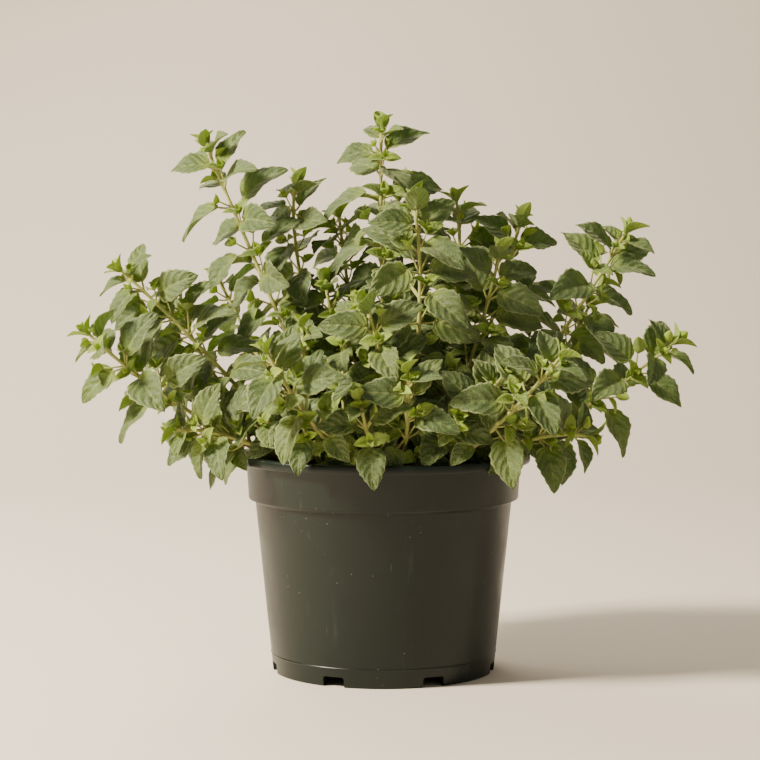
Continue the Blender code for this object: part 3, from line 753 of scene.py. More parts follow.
def add_blade(skin, leaf, grid, chance, large, oldest=1.0):
    """A toothed, folded blade, puckered between its veins, with a real thickness all over."""
    along = leaf.tip - leaf.base
    length = along.length
    along.normalize()
    right = along.cross(leaf.normal).normalized()
    age = min(max((length - NEW_GROWN) / (FULL_GROWN - NEW_GROWN), 0.0), oldest)
    even = np.linspace(0.0, 1.0, grid.rows + 1)
    u = (EVEN_ROWS * even + (1 - EVEN_ROWS) * (0.5 - 0.5 * np.cos(np.pi * even)))[:, None]
    v = np.array(grid.columns)[None, :]
    side = np.abs(v)

    # The outline: toothed, and drawn back to a heart shape on each side of the stalk
    tooth = np.sin(np.pi * ((u * TEETH) % 1.0) ** TOOTH_SLANT)
    toothed = BLADE_FILL + TOOTH_DEPTH * age * (tooth - TOOTH_LEVEL) * side ** 6
    reach = leaf.width / 2 * outline(u) * toothed + BLADE_FOOT * (1 - u) + BLADE_POINT
    forward = u * length - HEART_DEPTH * length * v ** 2 * np.exp(-((u / HEART_LENGTH) ** 2))

    # The upper face: its fold, cushions between the veins, sunk midrib, wave, arch, droop and twist
    fold = YOUNG_FOLD - FOLD_OPENING * age + chance.uniform(-FOLD_SPREAD, FOLD_SPREAD)
    height = fold * side ** 1.25 * reach
    grown = YOUNG_SHARE + (1 - YOUNG_SHARE) * age
    phase = (u - VEIN_SWEEP * side ** VEIN_CURVE) * VEIN_PAIRS
    middle = np.clip(np.sin(np.pi * u) * 1.6, 0, 1) * grown
    cushion = np.abs(np.sin(np.pi * phase)) ** 0.8 * side ** 0.6 * (1 - side ** 3)
    height += CUSHION_HEIGHT * length * cushion * middle
    height -= MIDRIB_DEPTH * length * np.exp(-((v / MIDRIB_SPREAD) ** 2)) * (1 - u)
    wave = np.sin(2 * np.pi * (WAVES * u + chance.random())) * v * side
    height += WAVE_HEIGHT * length * wave * age
    height += ARCH_HEIGHT * length * np.sin(np.pi * u) - chance.uniform(*DROOPS) * length * age * u ** 2
    height += v * reach * chance.uniform(-TWIST, TWIST) * u

    # The under face: a thickness below the upper one, and a rib under the midrib
    thick = BLADE_THICKNESS * grown * (1 - EDGE_THINNING * side ** 2)
    rib = RIB_HEIGHT * age * np.exp(-((v / RIB_SPREAD) ** 2)) * (1 - u) ** 0.7
    level = np.stack([forward + 0 * v, v * reach, height], -1)
    lower = level.copy()
    lower[..., 2] -= thick + rib
    axes = np.array([along, right, leaf.normal])
    points = np.concatenate([level.reshape(-1, 3), lower.reshape(-1, 3)]) @ axes + np.array(leaf.base)
    flat_u = np.broadcast_to(u, height.shape).ravel()
    flat_v = np.broadcast_to(v, height.shape).ravel()
    count = len(flat_u)
    place = np.stack([flat_u, flat_v, np.full(count, chance.random())], -1)
    info = np.zeros((2 * count, 3))
    info[:, 0] = age
    info[count:, 1] = 1.0
    info[:, 2] = chance.random()
    top, under, rim = sheet_faces(grid.rows, len(grid.columns))
    corners = sheet_map(top, under, rim, flat_u, flat_v).reshape(-1, 2)
    faces = np.concatenate([top, under, rim]).tolist()
    skin.add(points, np.concatenate([place, place]), info, faces, LEAF_SLOT, corners, large)


def add_tube(skin, rings, shares, number, large):
    """A closed tube through rings of points: shares runs from 0, woody, to 1, green."""
    rings = np.array(rings)
    count, sides, _ = rings.shape
    index = np.arange(count * sides).reshape(count, sides)
    after = np.roll(index, -1, axis=1)
    walls = np.stack([index[:-1], after[:-1], after[1:], index[1:]], -1).reshape(-1, 4)
    faces = walls.tolist() + [index[0, ::-1].tolist(), index[-1].tolist()]
    share = np.repeat(shares, sides)
    place = np.stack([share, np.zeros_like(share), np.full_like(share, number)], -1)
    around, level = np.meshgrid(np.linspace(0.0, 1.0, sides + 1), np.linspace(*WALL_SPAN, count))
    grid = np.stack([around, level], -1)
    wall_map = np.stack([grid[:-1, :-1], grid[:-1, 1:], grid[1:, 1:], grid[1:, :-1]], 2)
    turns = 2 * np.pi * np.arange(sides) / sides
    end = np.stack([0.5 + END_RADIUS * np.cos(turns), END_RADIUS + END_RADIUS * np.sin(turns)], -1)
    corners = np.concatenate([wall_map.reshape(-1, 2), end, end + (0.0, 1 - 2 * END_RADIUS)])
    skin.add(rings.reshape(-1, 3), place, np.zeros_like(place), faces, STEM_SLOT, corners, large)


def ring_of(centre, along, side, radius, sides, square):
    """A ring of points round a centre, from round, at square 0, to nearly square, at 1."""
    turns = 2 * np.pi * np.arange(sides) / sides + np.pi / 4
    swell = (np.abs(np.cos(turns)) ** 4 + np.abs(np.sin(turns)) ** 4) ** -0.25
    reach = radius * (1 + square * (swell - 1))
    spokes = np.outer(np.cos(turns) * reach, side) + np.outer(np.sin(turns) * reach, along.cross(side))
    return np.array(centre) + spokes


def add_stem(skin, stem, pairs, number):
    """The square stem, swollen a little at each pair of leaves, closed to a blunt tip."""
    steps = math.ceil(stem.length / STEM_STEP)
    rings = []
    for i in range(steps + 1):
        distance = stem.length * i / steps
        from_tip = stem.length - distance
        offsets = [(from_tip - NODE_DISTANCES[pair]) / NODE_SWELL_LENGTH for pair in pairs]
        swell = sum(math.exp(-(offset ** 2)) for offset in offsets)
        radius = STEM_FILL * stem.half_width(distance) * (1 + NODE_SWELL * min(swell, 1.0))
        if i == steps:
            radius *= BLUNT_TIP
        rings.append(ring_of(*stem.at(distance), radius, STEM_SIDES, 1.0))
    add_tube(skin, rings, np.linspace(0.0, 1.0, steps + 1), number, True)


def add_stalk(skin, root, base, normal, radius, share, number):
    """A thin bowed stalk from a stem to a blade."""
    along = base - root
    side = along.normalized().cross(normal).normalized()
    rings = []
    for i in range(STALK_RINGS):
        at = i / (STALK_RINGS - 1)
        bow = math.sin(math.pi * at) * STALK_BOW * along.length
        centre = root + along * (at * (1 + STALK_OVERLAP) - STALK_OVERLAP) - normal * bow
        slim = radius * (STALK_FOOT_SHARE - STALK_THINNING * at)
        rings.append(ring_of(centre, along.normalized(), side, slim, STALK_SIDES, 0.0))
    add_tube(skin, rings, np.full(STALK_RINGS, share), number, False)


def lifted(out, up, pitch):
    """Directions of a leaf, raised from out towards up by a pitch in degrees, and of its upper face."""
    lift = math.radians(pitch)
    return out * math.cos(lift) + up * math.sin(lift), up * math.cos(lift) - out * math.sin(lift)


def tip_leaves(stem, chance):
    """The tuft of young leaves that closes over the growing tip."""
    made = []
    for k, (from_tip, length, pitch) in enumerate(TIP_PAIRS):
        centre, along, first_side = stem.at(stem.length - from_tip)
        quarter = along.cross(first_side) if k % 2 == 0 else first_side
        for out in (quarter, -quarter):
            blade, normal = lifted(out, along, pitch + chance.gauss(0, TIP_SWING))
            size = length * stem.shoot.leaf * chance.uniform(*TIP_SIZES)
            root = centre + out * STEM_TIP_HALF_WIDTH * TIP_ROOT_SHARE
            made.append(Leaf(stem.shoot.name, k, 0, root, root, root + blade * size, normal, size,
                             size * TIP_WIDTH_SHARE))
    return made


def axil_shoot(stem, leaf, chance):
    """A short side shoot in a leaf's joint: where its stalk starts and ends, and its two pairs of leaves."""
    distance = stem.length - NODE_DISTANCES[leaf.pair]
    centre, along, _ = stem.at(distance)
    out = leaf.root - centre
    out = (out - along * out.dot(along)).normalized()
    root = centre + out * stem.half_width(distance) * AXIL_ROOT_SHARE + along * AXIL_ROOT_RISE
    way = (out * chance.uniform(*AXIL_LEANS) + along).normalized()
    vigour = min(leaf.pair / AXIL_FULL_PAIR, 1.0) * chance.uniform(*AXIL_VIGOURS)
    reach = AXIL_STALK[0] + (AXIL_STALK[1] - AXIL_STALK[0]) * vigour
    size = AXIL_LEAF[0] + (AXIL_LEAF[1] - AXIL_LEAF[0]) * vigour
    top = root + way * reach
    across = way.cross(out).normalized()
    facing = across.cross(way)
    made = []
    tiers = [(across, OPEN_TIER), (facing, BUD_TIER)]
    if reach > TWO_TIER_STALK:
        tiers.append((facing, LOW_TIER))
    for spread, (share, scale, pitch) in tiers:
        start = root.lerp(top, share)
        for direction in (spread, -spread):
            blade, normal = lifted(direction, way, pitch + chance.gauss(0, LEAF_SWING))
            base = start + blade * AXIL_FOOT
            if scale == 1.0:
                blade, normal = faced(blade, normal, base, 1)
            length = size * scale * chance.uniform(*AXIL_SIZES)
            made.append(Leaf(leaf.shoot, leaf.pair, 2, start, base, base + blade * length, normal, length,
                             length * LEAF_WIDTH_SHARE))
    return root, top, made


def small_room(leaf):
    """The space of a small leaf of a side shoot, without its stalk."""
    rings = [petiole_ring(leaf, 1.0, SMALL_STALK_ROOM)] + blade_rings(leaf, SMALL_MARGIN)
    rings.append([leaf.tip + (corner - leaf.tip) * TIP_POINT for corner in rings[-1]])
    return ring_solid(rings)


def grid_of(length, fine):
    if length < BUD_LEAF:
        return TINY_GRID
    if length < 2 * BUD_LEAF:
        return BUD_GRID
    return fine


def shoot_piece(number, stem, leaves, room, looks):
    """One whole shoot: stem, stalked leaves, side shoots in the leaf joints, and the tuft at its tip."""
    chance = random.Random(FIRST_SEED + number)
    fine = FINE_GRID if number < len(FRONT_SHOOTS) else REAR_GRID
    skin = Skin()
    add_stem(skin, stem, {leaf.pair for leaf in leaves}, chance.random())
    for leaf in leaves:
        share = STALK_GREEN + (1 - STALK_GREEN) * (stem.length - NODE_DISTANCES[leaf.pair]) / stem.length
        radius = STALK_RADIUS * min(1.0, leaf.length / FULL_GROWN + STALK_LEAST_SHARE)
        add_stalk(skin, leaf.root, leaf.base, leaf.normal, radius, share, chance.random())
        add_blade(skin, leaf, grid_of(leaf.length, fine), chance, True)
    for leaf in tip_leaves(stem, chance):
        add_blade(skin, leaf, grid_of(leaf.length, fine), chance, False, TIP_AGES[leaf.pair])
    for leaf in leaves:
        if leaf.pair == 0 or chance.random() > AXIL_SHARE:
            continue
        root, top, small = axil_shoot(stem, leaf, chance)
        kept = [one for one in small if room.take(one, small_room(one))]
        if kept:
            radius = STALK_RADIUS * AXIL_STALK_SHARE
            add_stalk(skin, root, top, leaf.normal, radius, AXIL_GREEN, chance.random())
        for one in kept:
            add_blade(skin, one, grid_of(one.length, BUD_GRID), chance, False)
    piece = skin.piece(f"{stem.shoot.name}_grown", looks)
    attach(piece, "root")
    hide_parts(stem.shoot.name)


class Look:
    """A material and short ways to add its nodes."""

    def __init__(self, name):
        self.material = bpy.data.materials.new(name)
        self.material.use_nodes = True
        self.tree = self.material.node_tree
        self.shader = self.tree.nodes["Principled BSDF"]
        self.output = self.tree.nodes["Material Output"]

    def plug(self, value, socket):
        if isinstance(value, bpy.types.NodeSocket):
            self.tree.links.new(value, socket)
        else:
            socket.default_value = value

    def set(self, **values):
        """Sets sockets of the surface shader, where an underscore stands for a space."""
        for name, value in values.items():
            self.plug(value, self.shader.inputs[name.replace("_", " ")])

    def math(self, operation, *values):
        made = self.tree.nodes.new("ShaderNodeMath")
        made.operation = operation
        for socket, value in zip(made.inputs, values):
            self.plug(value, socket)
        return made.outputs[0]

    def times(self, first, second):
        return self.math("MULTIPLY", first, second)

    def smooth(self, value, low, high, to_low=0.0, to_high=1.0):
        """A soft step of a value from one level to another."""
        made = self.tree.nodes.new("ShaderNodeMapRange")
        made.interpolation_type = "SMOOTHSTEP"
        for socket, own in zip(made.inputs, (value, low, high, to_low, to_high)):
            self.plug(own, socket)
        return made.outputs[0]

    def mix(self, share, first, second):
        made = self.tree.nodes.new("ShaderNodeMix")
        made.data_type = "RGBA"
        self.plug(share, made.inputs[0])
        for socket, colour in zip(made.inputs[6:8], (first, second)):
            self.plug((*colour, 1.0) if isinstance(colour, tuple) else colour, socket)
        return made.outputs[2]

    def layered(self, colour, *layers):
        """The colour with other colours laid over it in turn, each by its share."""
        for share, over in layers:
            colour = self.mix(share, colour, over)
        return colour

    def place(self, scale=(1.0, 1.0, 1.0)):
        """The surface's place in the object, in metres, stretched by a scale."""
        source = self.tree.nodes.new("ShaderNodeTexCoord")
        mapping = self.tree.nodes.new("ShaderNodeMapping")
        mapping.inputs["Scale"].default_value = scale
        self.tree.links.new(source.outputs["Object"], mapping.inputs["Vector"])
        return mapping.outputs[0]

    def noise(self, where, scale, detail=2.0, rough=0.5):
        made = self.tree.nodes.new("ShaderNodeTexNoise")
        self.plug(where, made.inputs["Vector"])
        made.inputs["Scale"].default_value = scale
        made.inputs["Detail"].default_value = detail
        made.inputs["Roughness"].default_value = rough
        return made.outputs[0]

    def cells(self, where, scale, feature="F1"):
        made = self.tree.nodes.new("ShaderNodeTexVoronoi")
        made.feature = feature
        self.plug(where, made.inputs["Vector"])
        made.inputs["Scale"].default_value = scale
        return made.outputs["Distance"]

    def parts(self, attribute):
        """The three numbers that each point of the mesh holds under a name."""
        source = self.tree.nodes.new("ShaderNodeAttribute")
        source.attribute_name = attribute
        split = self.tree.nodes.new("ShaderNodeSeparateXYZ")
        self.tree.links.new(source.outputs["Vector"], split.inputs[0])
        return split.outputs[:]

    def bump(self, height, strength, distance, before=None):
        made = self.tree.nodes.new("ShaderNodeBump")
        made.inputs["Strength"].default_value = strength
        made.inputs["Distance"].default_value = distance
        self.plug(height, made.inputs["Height"])
        if before:
            self.plug(before, made.inputs["Normal"])
        return made.outputs[0]

    def glow_through(self, share, colour, normal):
        """Lets a share of the light through to the other side, as a thin leaf does."""
        through = self.tree.nodes.new("ShaderNodeBsdfTranslucent")
        self.plug(colour, through.inputs["Color"])
        self.plug(normal, through.inputs["Normal"])
        both = self.tree.nodes.new("ShaderNodeMixShader")
        both.inputs[0].default_value = share
        self.tree.links.new(self.shader.outputs[0], both.inputs[1])
        self.tree.links.new(through.outputs[0], both.inputs[2])
        self.tree.links.new(both.outputs[0], self.output.inputs["Surface"])


# Leaf colours, linear, and the share of light that goes through a blade
DEEP_GREEN = (0.042, 0.084, 0.015)
MID_GREEN = (0.105, 0.165, 0.038)
# Painted highlight: a lighter green laid on the raised cushions between the veins, where light falls on them
CUSHION_PAINTED_HIGHLIGHT = (0.24, 0.30, 0.11)
# Painted shade: a dark green laid along the sunk veins, where shade falls in the grooves
SUNK_VEIN_PAINTED_SHADE = (0.026, 0.06, 0.009)
YOUNG_GREEN = (0.27, 0.46, 0.02)
YOUNG_YELLOW = (0.46, 0.60, 0.05)
WARM_GREEN = (0.16, 0.23, 0.03)
COOL_GREEN = (0.04, 0.088, 0.026)
FOOT_YELLOW = (0.30, 0.42, 0.04)
MIDRIB_YELLOW = (0.32, 0.40, 0.10)
EDGE_PALE = (0.42, 0.48, 0.20)
DOWN_PALE = (0.46, 0.51, 0.30)
UNDER_GREEN = (0.17, 0.235, 0.06)
UNDER_RIB = (0.36, 0.42, 0.15)
LIT_YOUNG = (0.56, 0.72, 0.03)
LIT_GROWN = (0.30, 0.48, 0.02)
LIT_VEIN = (0.18, 0.26, 0.02)
LIT_SHARE = 0.34


def leaf_look():
    """Downy grey-green blade: painted shade in its sunk veins, a painted highlight on the cushions between
    them, pale midrib, yellow-green base, paler under side.
    """
    look = Look("oregano_leaf")
    along, across, number = look.parts("place")
    age, under, second = look.parts("info")
    side = look.math("ABSOLUTE", across)
    where = look.place()
    blotch = look.noise(where, 160.0, 3.0)
    swept = look.math("SUBTRACT", along, look.times(look.math("POWER", side, VEIN_CURVE), VEIN_SWEEP))
    swept = look.math("ADD", swept, look.times(look.math("SUBTRACT", blotch, 0.5), 0.16))
    off_vein = look.math("PINGPONG", look.times(swept, VEIN_PAIRS), 0.5)
    vein = look.times(look.smooth(off_vein, 0.0, 0.1, 1.0, 0.0), look.smooth(side, 0.6, 1.0, 1.0, 0.0))
    midrib = look.smooth(side, 0.01, 0.11, 1.0, 0.0)
    lines = look.math("MAXIMUM", look.times(vein, 0.35), midrib)
    fine = look.noise(where, 1500.0, 3.0, 0.6)
    net = look.smooth(look.cells(where, 620.0, "DISTANCE_TO_EDGE"), 0.0, 0.16)

    # The raised cushions between the veins: they carry the bump and a painted highlight
    raised = look.smooth(off_vein, 0.05, 0.5)
    grown = look.layered(
        look.mix(look.smooth(blotch, 0.3, 0.7), DEEP_GREEN, MID_GREEN),
        # painted highlight on the raised cushions
        (look.times(raised, 0.2), CUSHION_PAINTED_HIGHLIGHT),
        # painted shade along the sunk veins
        (look.smooth(off_vein, 0.02, 0.16, 0.55, 0.0), SUNK_VEIN_PAINTED_SHADE),
    )
    young = look.mix(blotch, YOUNG_GREEN, YOUNG_YELLOW)
    colour = look.layered(
        look.mix(look.smooth(age, 0.05, 0.7), young, grown),
        (look.times(look.smooth(number, 0.4, 1.0), 0.35), WARM_GREEN),
        (look.times(look.smooth(second, 0.5, 1.0), 0.3), COOL_GREEN),
        (look.smooth(along, 0.0, 0.3, 0.55, 0.0), FOOT_YELLOW),
        (look.times(lines, 0.5), MIDRIB_YELLOW),
        (look.smooth(side, 0.88, 1.0, 0.0, 0.75), EDGE_PALE),
        (look.smooth(fine, 0.45, 0.75, 0.0, 0.5), DOWN_PALE),
    )
    pale = look.mix(look.times(lines, 0.5), UNDER_GREEN, UNDER_RIB)
    colour = look.mix(look.times(under, look.smooth(age, 0.15, 0.8, 0.0, 0.7)), colour, pale)

    cushion = look.bump(look.times(raised, look.smooth(age, 0.1, 0.9)), 0.6, 0.0006)
    reticule = look.bump(net, 0.6, 0.00022, cushion)
    normal = look.bump(fine, 0.6, 0.00014, reticule)
    look.set(Base_Color=colour, Roughness=look.smooth(fine, 0.3, 0.7, 0.44, 0.68), Normal=normal,
             Sheen_Weight=0.4, Sheen_Roughness=0.35, Sheen_Tint=(0.95, 0.95, 0.70, 1.0),
             Specular_IOR_Level=0.45)
    lit = look.mix(look.smooth(age, 0.0, 1.0), LIT_YOUNG, LIT_GROWN)
    look.glow_through(LIT_SHARE, look.mix(look.times(lines, 0.4), lit, LIT_VEIN), normal)
    return look.material


def stem_look():
    """Fuzzy square stem, from red-brown and tan at its foot to yellow-green at its tip."""
    look = Look("oregano_stem")
    share, _, number = look.parts("place")
    where = look.place()
    streak = look.noise(look.place((1.0, 1.0, 0.2)), 700.0, 3.0)
    fuzz = look.noise(where, 2400.0, 3.0, 0.7)
    patch = look.noise(where, 90.0, 2.0)
    woody = look.mix(streak, (0.13, 0.058, 0.018), (0.33, 0.22, 0.07))
    green = look.mix(streak, (0.24, 0.29, 0.035), (0.46, 0.49, 0.12))
    bent = look.math("ADD", share, look.times(look.math("SUBTRACT", patch, 0.5), 0.5))
    colour = look.layered(
        look.mix(look.smooth(bent, 0.16, 0.56), woody, green),
        (look.times(number, 0.25), (0.30, 0.20, 0.06)),
        (look.smooth(fuzz, 0.5, 0.8, 0.0, 0.5), (0.56, 0.55, 0.32)),
    )
    normal = look.bump(fuzz, 0.7, 0.00025, look.bump(streak, 0.4, 0.0002))
    look.set(Base_Color=colour, Roughness=look.smooth(fuzz, 0.3, 0.7, 0.55, 0.8), Normal=normal,
             Sheen_Weight=0.4, Sheen_Roughness=0.4, Sheen_Tint=(0.95, 0.94, 0.84, 1.0))
    return look.material


def pot_look():
    """Near-black green moulded plastic: satin, with upright scuffs, water marks and specks of dust."""
    look = Look("pot_plastic")
    where = look.place()
    cloud = look.noise(where, 28.0, 4.0, 0.6)
    grain = look.noise(where, 1900.0, 2.0)
    scuff = look.smooth(look.noise(look.place((1.0, 1.0, 0.09)), 150.0, 5.0, 0.65), 0.56, 0.76)
    scuff = look.times(scuff, look.smooth(cloud, 0.4, 0.65))
    scratch = look.smooth(look.noise(look.place((1.0, 1.0, 0.02)), 900.0, 2.0), 0.68, 0.74)
    scratch = look.times(scratch, look.smooth(cloud, 0.5, 0.6))
    specks = look.smooth(look.cells(where, 260.0), 0.06, 0.10, 1.0, 0.0)
    specks = look.times(specks, look.smooth(look.noise(where, 60.0, 2.0), 0.54, 0.62))
    colour = look.layered(
        look.mix(cloud, (0.0034, 0.0072, 0.005), (0.0085, 0.0148, 0.0108)),
        (look.times(scuff, 0.75), (0.032, 0.043, 0.034)),
        (look.times(scratch, 0.4), (0.07, 0.078, 0.07)),
        (look.times(specks, 0.6), (0.19, 0.17, 0.13)),
    )
    roughness = look.smooth(cloud, 0.3, 0.7, 0.28, 0.4)
    roughness = look.math("ADD", roughness, look.times(scuff, 0.2))
    normal = look.bump(specks, 0.3, 0.0002, look.bump(grain, 0.12, 0.00005, look.bump(cloud, 0.1, 0.001)))
    look.set(Base_Color=colour, Roughness=roughness, Normal=normal, Specular_IOR_Level=0.28)
    return look.material


def mix_look():
    """Moist dark peat, crumbly, with lighter fibres."""
    look = Look("potting_mix")
    where = look.place()
    lump = look.noise(where, 170.0, 5.0, 0.65)
    crumb = look.cells(where, 420.0)
    fibre = look.smooth(look.noise(look.place((1.0, 0.16, 1.0)), 1100.0, 3.0), 0.62, 0.72)
    colour = look.layered(
        look.mix(look.smooth(lump, 0.35, 0.7), (0.010, 0.007, 0.005), (0.05, 0.034, 0.022)),
        (look.smooth(crumb, 0.0, 0.7, 0.5, 0.0), (0.03, 0.02, 0.014)),
        (look.times(fibre, 0.5), (0.14, 0.092, 0.05)),
    )
    normal = look.bump(crumb, 0.8, 0.0012, look.bump(lump, 0.8, 0.002))
    look.set(Base_Color=colour, Roughness=look.smooth(lump, 0.3, 0.7, 0.7, 0.95), Normal=normal)
    return look.material


def crumb_look():
    """Loose bits on the mix: peat, bark and a few pale grains, told apart by a number on each bit."""
    look = Look("mix_crumbs")
    tone, _, number = look.parts("place")
    grain = look.noise(look.place((1.0, 1.0, 0.3)), 900.0, 4.0, 0.65)
    peat = look.mix(grain, (0.013, 0.009, 0.006), (0.055, 0.036, 0.022))
    bark = look.mix(grain, (0.06, 0.028, 0.014), (0.17, 0.10, 0.055))
    pale = look.mix(grain, (0.32, 0.29, 0.23), (0.58, 0.55, 0.48))
    colour = look.layered(
        look.mix(look.smooth(tone, 0.3, 0.6), peat, bark),
        (look.smooth(tone, 0.8, 0.9), pale),
        (look.times(number, 0.4), (0.02, 0.014, 0.01)),
    )
    roughness = look.smooth(look.noise(look.place(), 300.0), 0.3, 0.7, 0.7, 0.95)
    look.set(Base_Color=colour, Roughness=roughness, Normal=look.bump(grain, 0.7, 0.0006))
    return look.material


# Fine pot and mix
POT_SIDES = 176
ROUND_STEPS = 5
ROUND_SHARE = 0.45
PARTING_Z = 9.6
PARTING_PROUD = 0.35
PARTING_HALF = 0.45
LIP_FOOT_INSET = 0.2
LIP_TOP_INSET = 0.3
NOTCH_CORNER = 1.6
NOTCH_CUT_IN = 2.0
NOTCH_CUT_OUT = 3.0
DRAIN_SIDES = 28
SHARP_DEG = 40.0

# Sizes of the rounded corners of the pot's outline, in its order
POT_CORNERS = (1.0, 0.6, 0.8, 0.3, 0.3, 0.3, 0.6, 0.9, 0.9, 1.6, 1.2, 2.4, 1.6, 1.5, 1.5, 1.5, 1.5)

# Top of the mix: height and width of each size of lump, and how far it sinks, most of all along the wall
MIX_RINGS = 40
MIX_SIDES = 130
MIX_LUMP = 1.5
MIX_LUMPS = ((1.1, 17.0), (0.7, 6.0), (0.45, 2.4))
MIX_SINK = 0.4
EDGE_SINK = 1.2
EDGE_SINK_WIDTH = 3.0

# Crumbs: peat, bark and pale grains, each with its tone, and length, width and height of their shapes
CRUMBS = 620
CRUMB_SEED = 41
CRUMB_SIZES = (0.7, 1.9)
PEAT_TONE = 0.1
PEAT_WIDTHS = (0.6, 1.0)
PEAT_HEIGHTS = (0.5, 0.9)
BARK_CRUMBS = 0.3
BARK_TONE = 0.7
BARK_SPANS = ((1.6, 3.4), (0.6, 1.1), (0.3, 0.5))
PALE_CRUMBS = 0.05
PALE_TONE = 1.0
PALE_SIZE = 0.7
CRUMB_EDGE = 4.5
CRUMB_TILT = 0.35
CRUMB_ROUGHNESS = 0.45
CRUMB_LUMPS = 1.7
CRUMB_PROUD = 0.35


def rounded(points, radii):
    """An open outline of (radius, z) points with each inner corner rounded by a curve of its own size."""
    made = [points[0]]
    for before, corner, after, radius in zip(points, points[1:], points[2:], radii):
        before, corner, after = (Vector(p) for p in (before, corner, after))
        reach = min(radius, *(ROUND_SHARE * (other - corner).length for other in (before, after)))
        start = corner + (before - corner).normalized() * reach
        end = corner + (after - corner).normalized() * reach
        for i in range(ROUND_STEPS + 1):
            t = i / ROUND_STEPS
            made.append(tuple(start.lerp(corner, t).lerp(corner.lerp(end, t), t)))
    made.append(points[-1])
    return made


def fine_pot_profile():
    """From the axis under the base, up the outside, over the rolled lip and down to the axis inside."""
    lip_z = POT_HEIGHT - LIP_HEIGHT
    ring_inner = FOOT_RADIUS - FOOT_RING_WIDTH
    points = [
        (0.0, BASE_BOTTOM_Z),
        (ring_inner, BASE_BOTTOM_Z),
        (ring_inner, 0.0),
        (body_radius(0.0), 0.0),
        (body_radius(PARTING_Z - PARTING_HALF), PARTING_Z - PARTING_HALF),
        (body_radius(PARTING_Z) + PARTING_PROUD, PARTING_Z),
        (body_radius(PARTING_Z + PARTING_HALF), PARTING_Z + PARTING_HALF),
        (BODY_TOP_RADIUS, COLLAR_FOOT_Z),
        (COLLAR_FOOT_RADIUS, COLLAR_FOOT_Z),
        (COLLAR_RADIUS, lip_z),
        (LIP_RADIUS - LIP_FOOT_INSET, lip_z),
        (LIP_RADIUS, lip_z + LIP_HEIGHT / 2),
        (LIP_RADIUS - LIP_TOP_INSET, POT_HEIGHT),
        (LIP_INNER_RADIUS, POT_HEIGHT),
        *inner_wall(),
        (0.0, BASE_BOTTOM_Z + BASE_THICKNESS),
    ]
    return rounded(points, POT_CORNERS)


def across_prism(outline, low, high, angle):
    """An outline of (y, z) points drawn out along a radius, turned about Z."""
    turn = Matrix.Rotation(angle, 3, "Z")
    count = len(outline)
    vertices = [turn @ Vector((x, y, z)) for x in (low, high) for y, z in outline]
    faces = [tuple(range(count))[::-1], tuple(range(count, 2 * count))]
    faces += [(i, (i + 1) % count, count + (i + 1) % count, count + i) for i in range(count)]
    return vertices, faces


def notch_outline():
    half = NOTCH_WIDTH / 2
    corners = [(half, NOTCH_HEIGHT), (-half, NOTCH_HEIGHT)]
    points = [(half, -CUTTER_OVERRUN), *corners, (-half, -CUTTER_OVERRUN)]
    return rounded(points, [NOTCH_CORNER, NOTCH_CORNER])


def cutter_shapes():
    """The notches in the foot ring and the drain holes in the base."""
    inside = FOOT_RADIUS - FOOT_RING_WIDTH - NOTCH_CUT_IN
    outside = FOOT_RADIUS + NOTCH_CUT_OUT
    low = BASE_BOTTOM_Z - CUTTER_OVERRUN
    high = BASE_BOTTOM_Z + BASE_THICKNESS + CUTTER_OVERRUN
    profile = [(0.0, low), (DRAIN_RADIUS, low), (DRAIN_RADIUS, high), (0.0, high)]
    hole, faces = turned_solid(profile, DRAIN_SIDES)
    shapes = []
    for notch in range(NOTCHES):
        angle = math.radians(FIRST_NOTCH_DEG) + 2 * math.pi * notch / NOTCHES
        shapes.append(across_prism(notch_outline(), inside, outside, angle))
        middle = Vector((DRAIN_RING_RADIUS * math.cos(angle), DRAIN_RING_RADIUS * math.sin(angle)))
        shapes.append(([(x + middle.x, y + middle.y, z) for x, y, z in hole], faces))
    return shapes


def mesh_of(name, vertices, faces):
    mesh = bpy.data.meshes.new(name)
    mesh.from_pydata([Vector(v) * MM for v in vertices], [], faces)
    return mesh


def joined(shapes):
    vertices = []
    faces = []
    for some_vertices, some_faces in shapes:
        start = len(vertices)
        vertices += list(some_vertices)
        faces += [tuple(start + i for i in face) for face in some_faces]
    return vertices, faces


def make_pot():
    """The moulded pot, with its notches and drain holes cut out."""
    pot = linked("nursery_pot", mesh_of("nursery_pot", *turned_solid(fine_pot_profile(), POT_SIDES)))
    cutter = linked("pot_cutters", mesh_of("pot_cutters", *joined(cutter_shapes())))
    cut = pot.modifiers.new("openings", "BOOLEAN")
    cut.operation = "DIFFERENCE"
    cut.solver = "EXACT"
    cut.object = cutter
    graph = bpy.context.evaluated_depsgraph_get()
    finished = bpy.data.meshes.new_from_object(pot.evaluated_get(graph))
    pot.modifiers.clear()
    pot.data = finished
    bpy.data.objects.remove(cutter, do_unlink=True)
    finished.shade_smooth()
    finished.set_sharp_from_angle(angle=math.radians(SHARP_DEG))
    finished.materials.clear()
    finished.materials.append(pot_look())
    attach(pot, "root")
    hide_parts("pot")


def mix_height(x, y):
    """Height of the lumpy top of the mix."""
    radius = math.hypot(x, y)
    place = Vector((x, y, 0.0))
    lumps = sum(high * noise.noise(place / wide) for high, wide in MIX_LUMPS)
    rim = pot_inner_radius(SOIL_TOP_Z) - GAP
    sink = EDGE_SINK * math.exp(-((rim - radius) / EDGE_SINK_WIDTH) ** 2)
    return soil_top(radius) - MIX_SINK + MIX_LUMP * lumps - sink


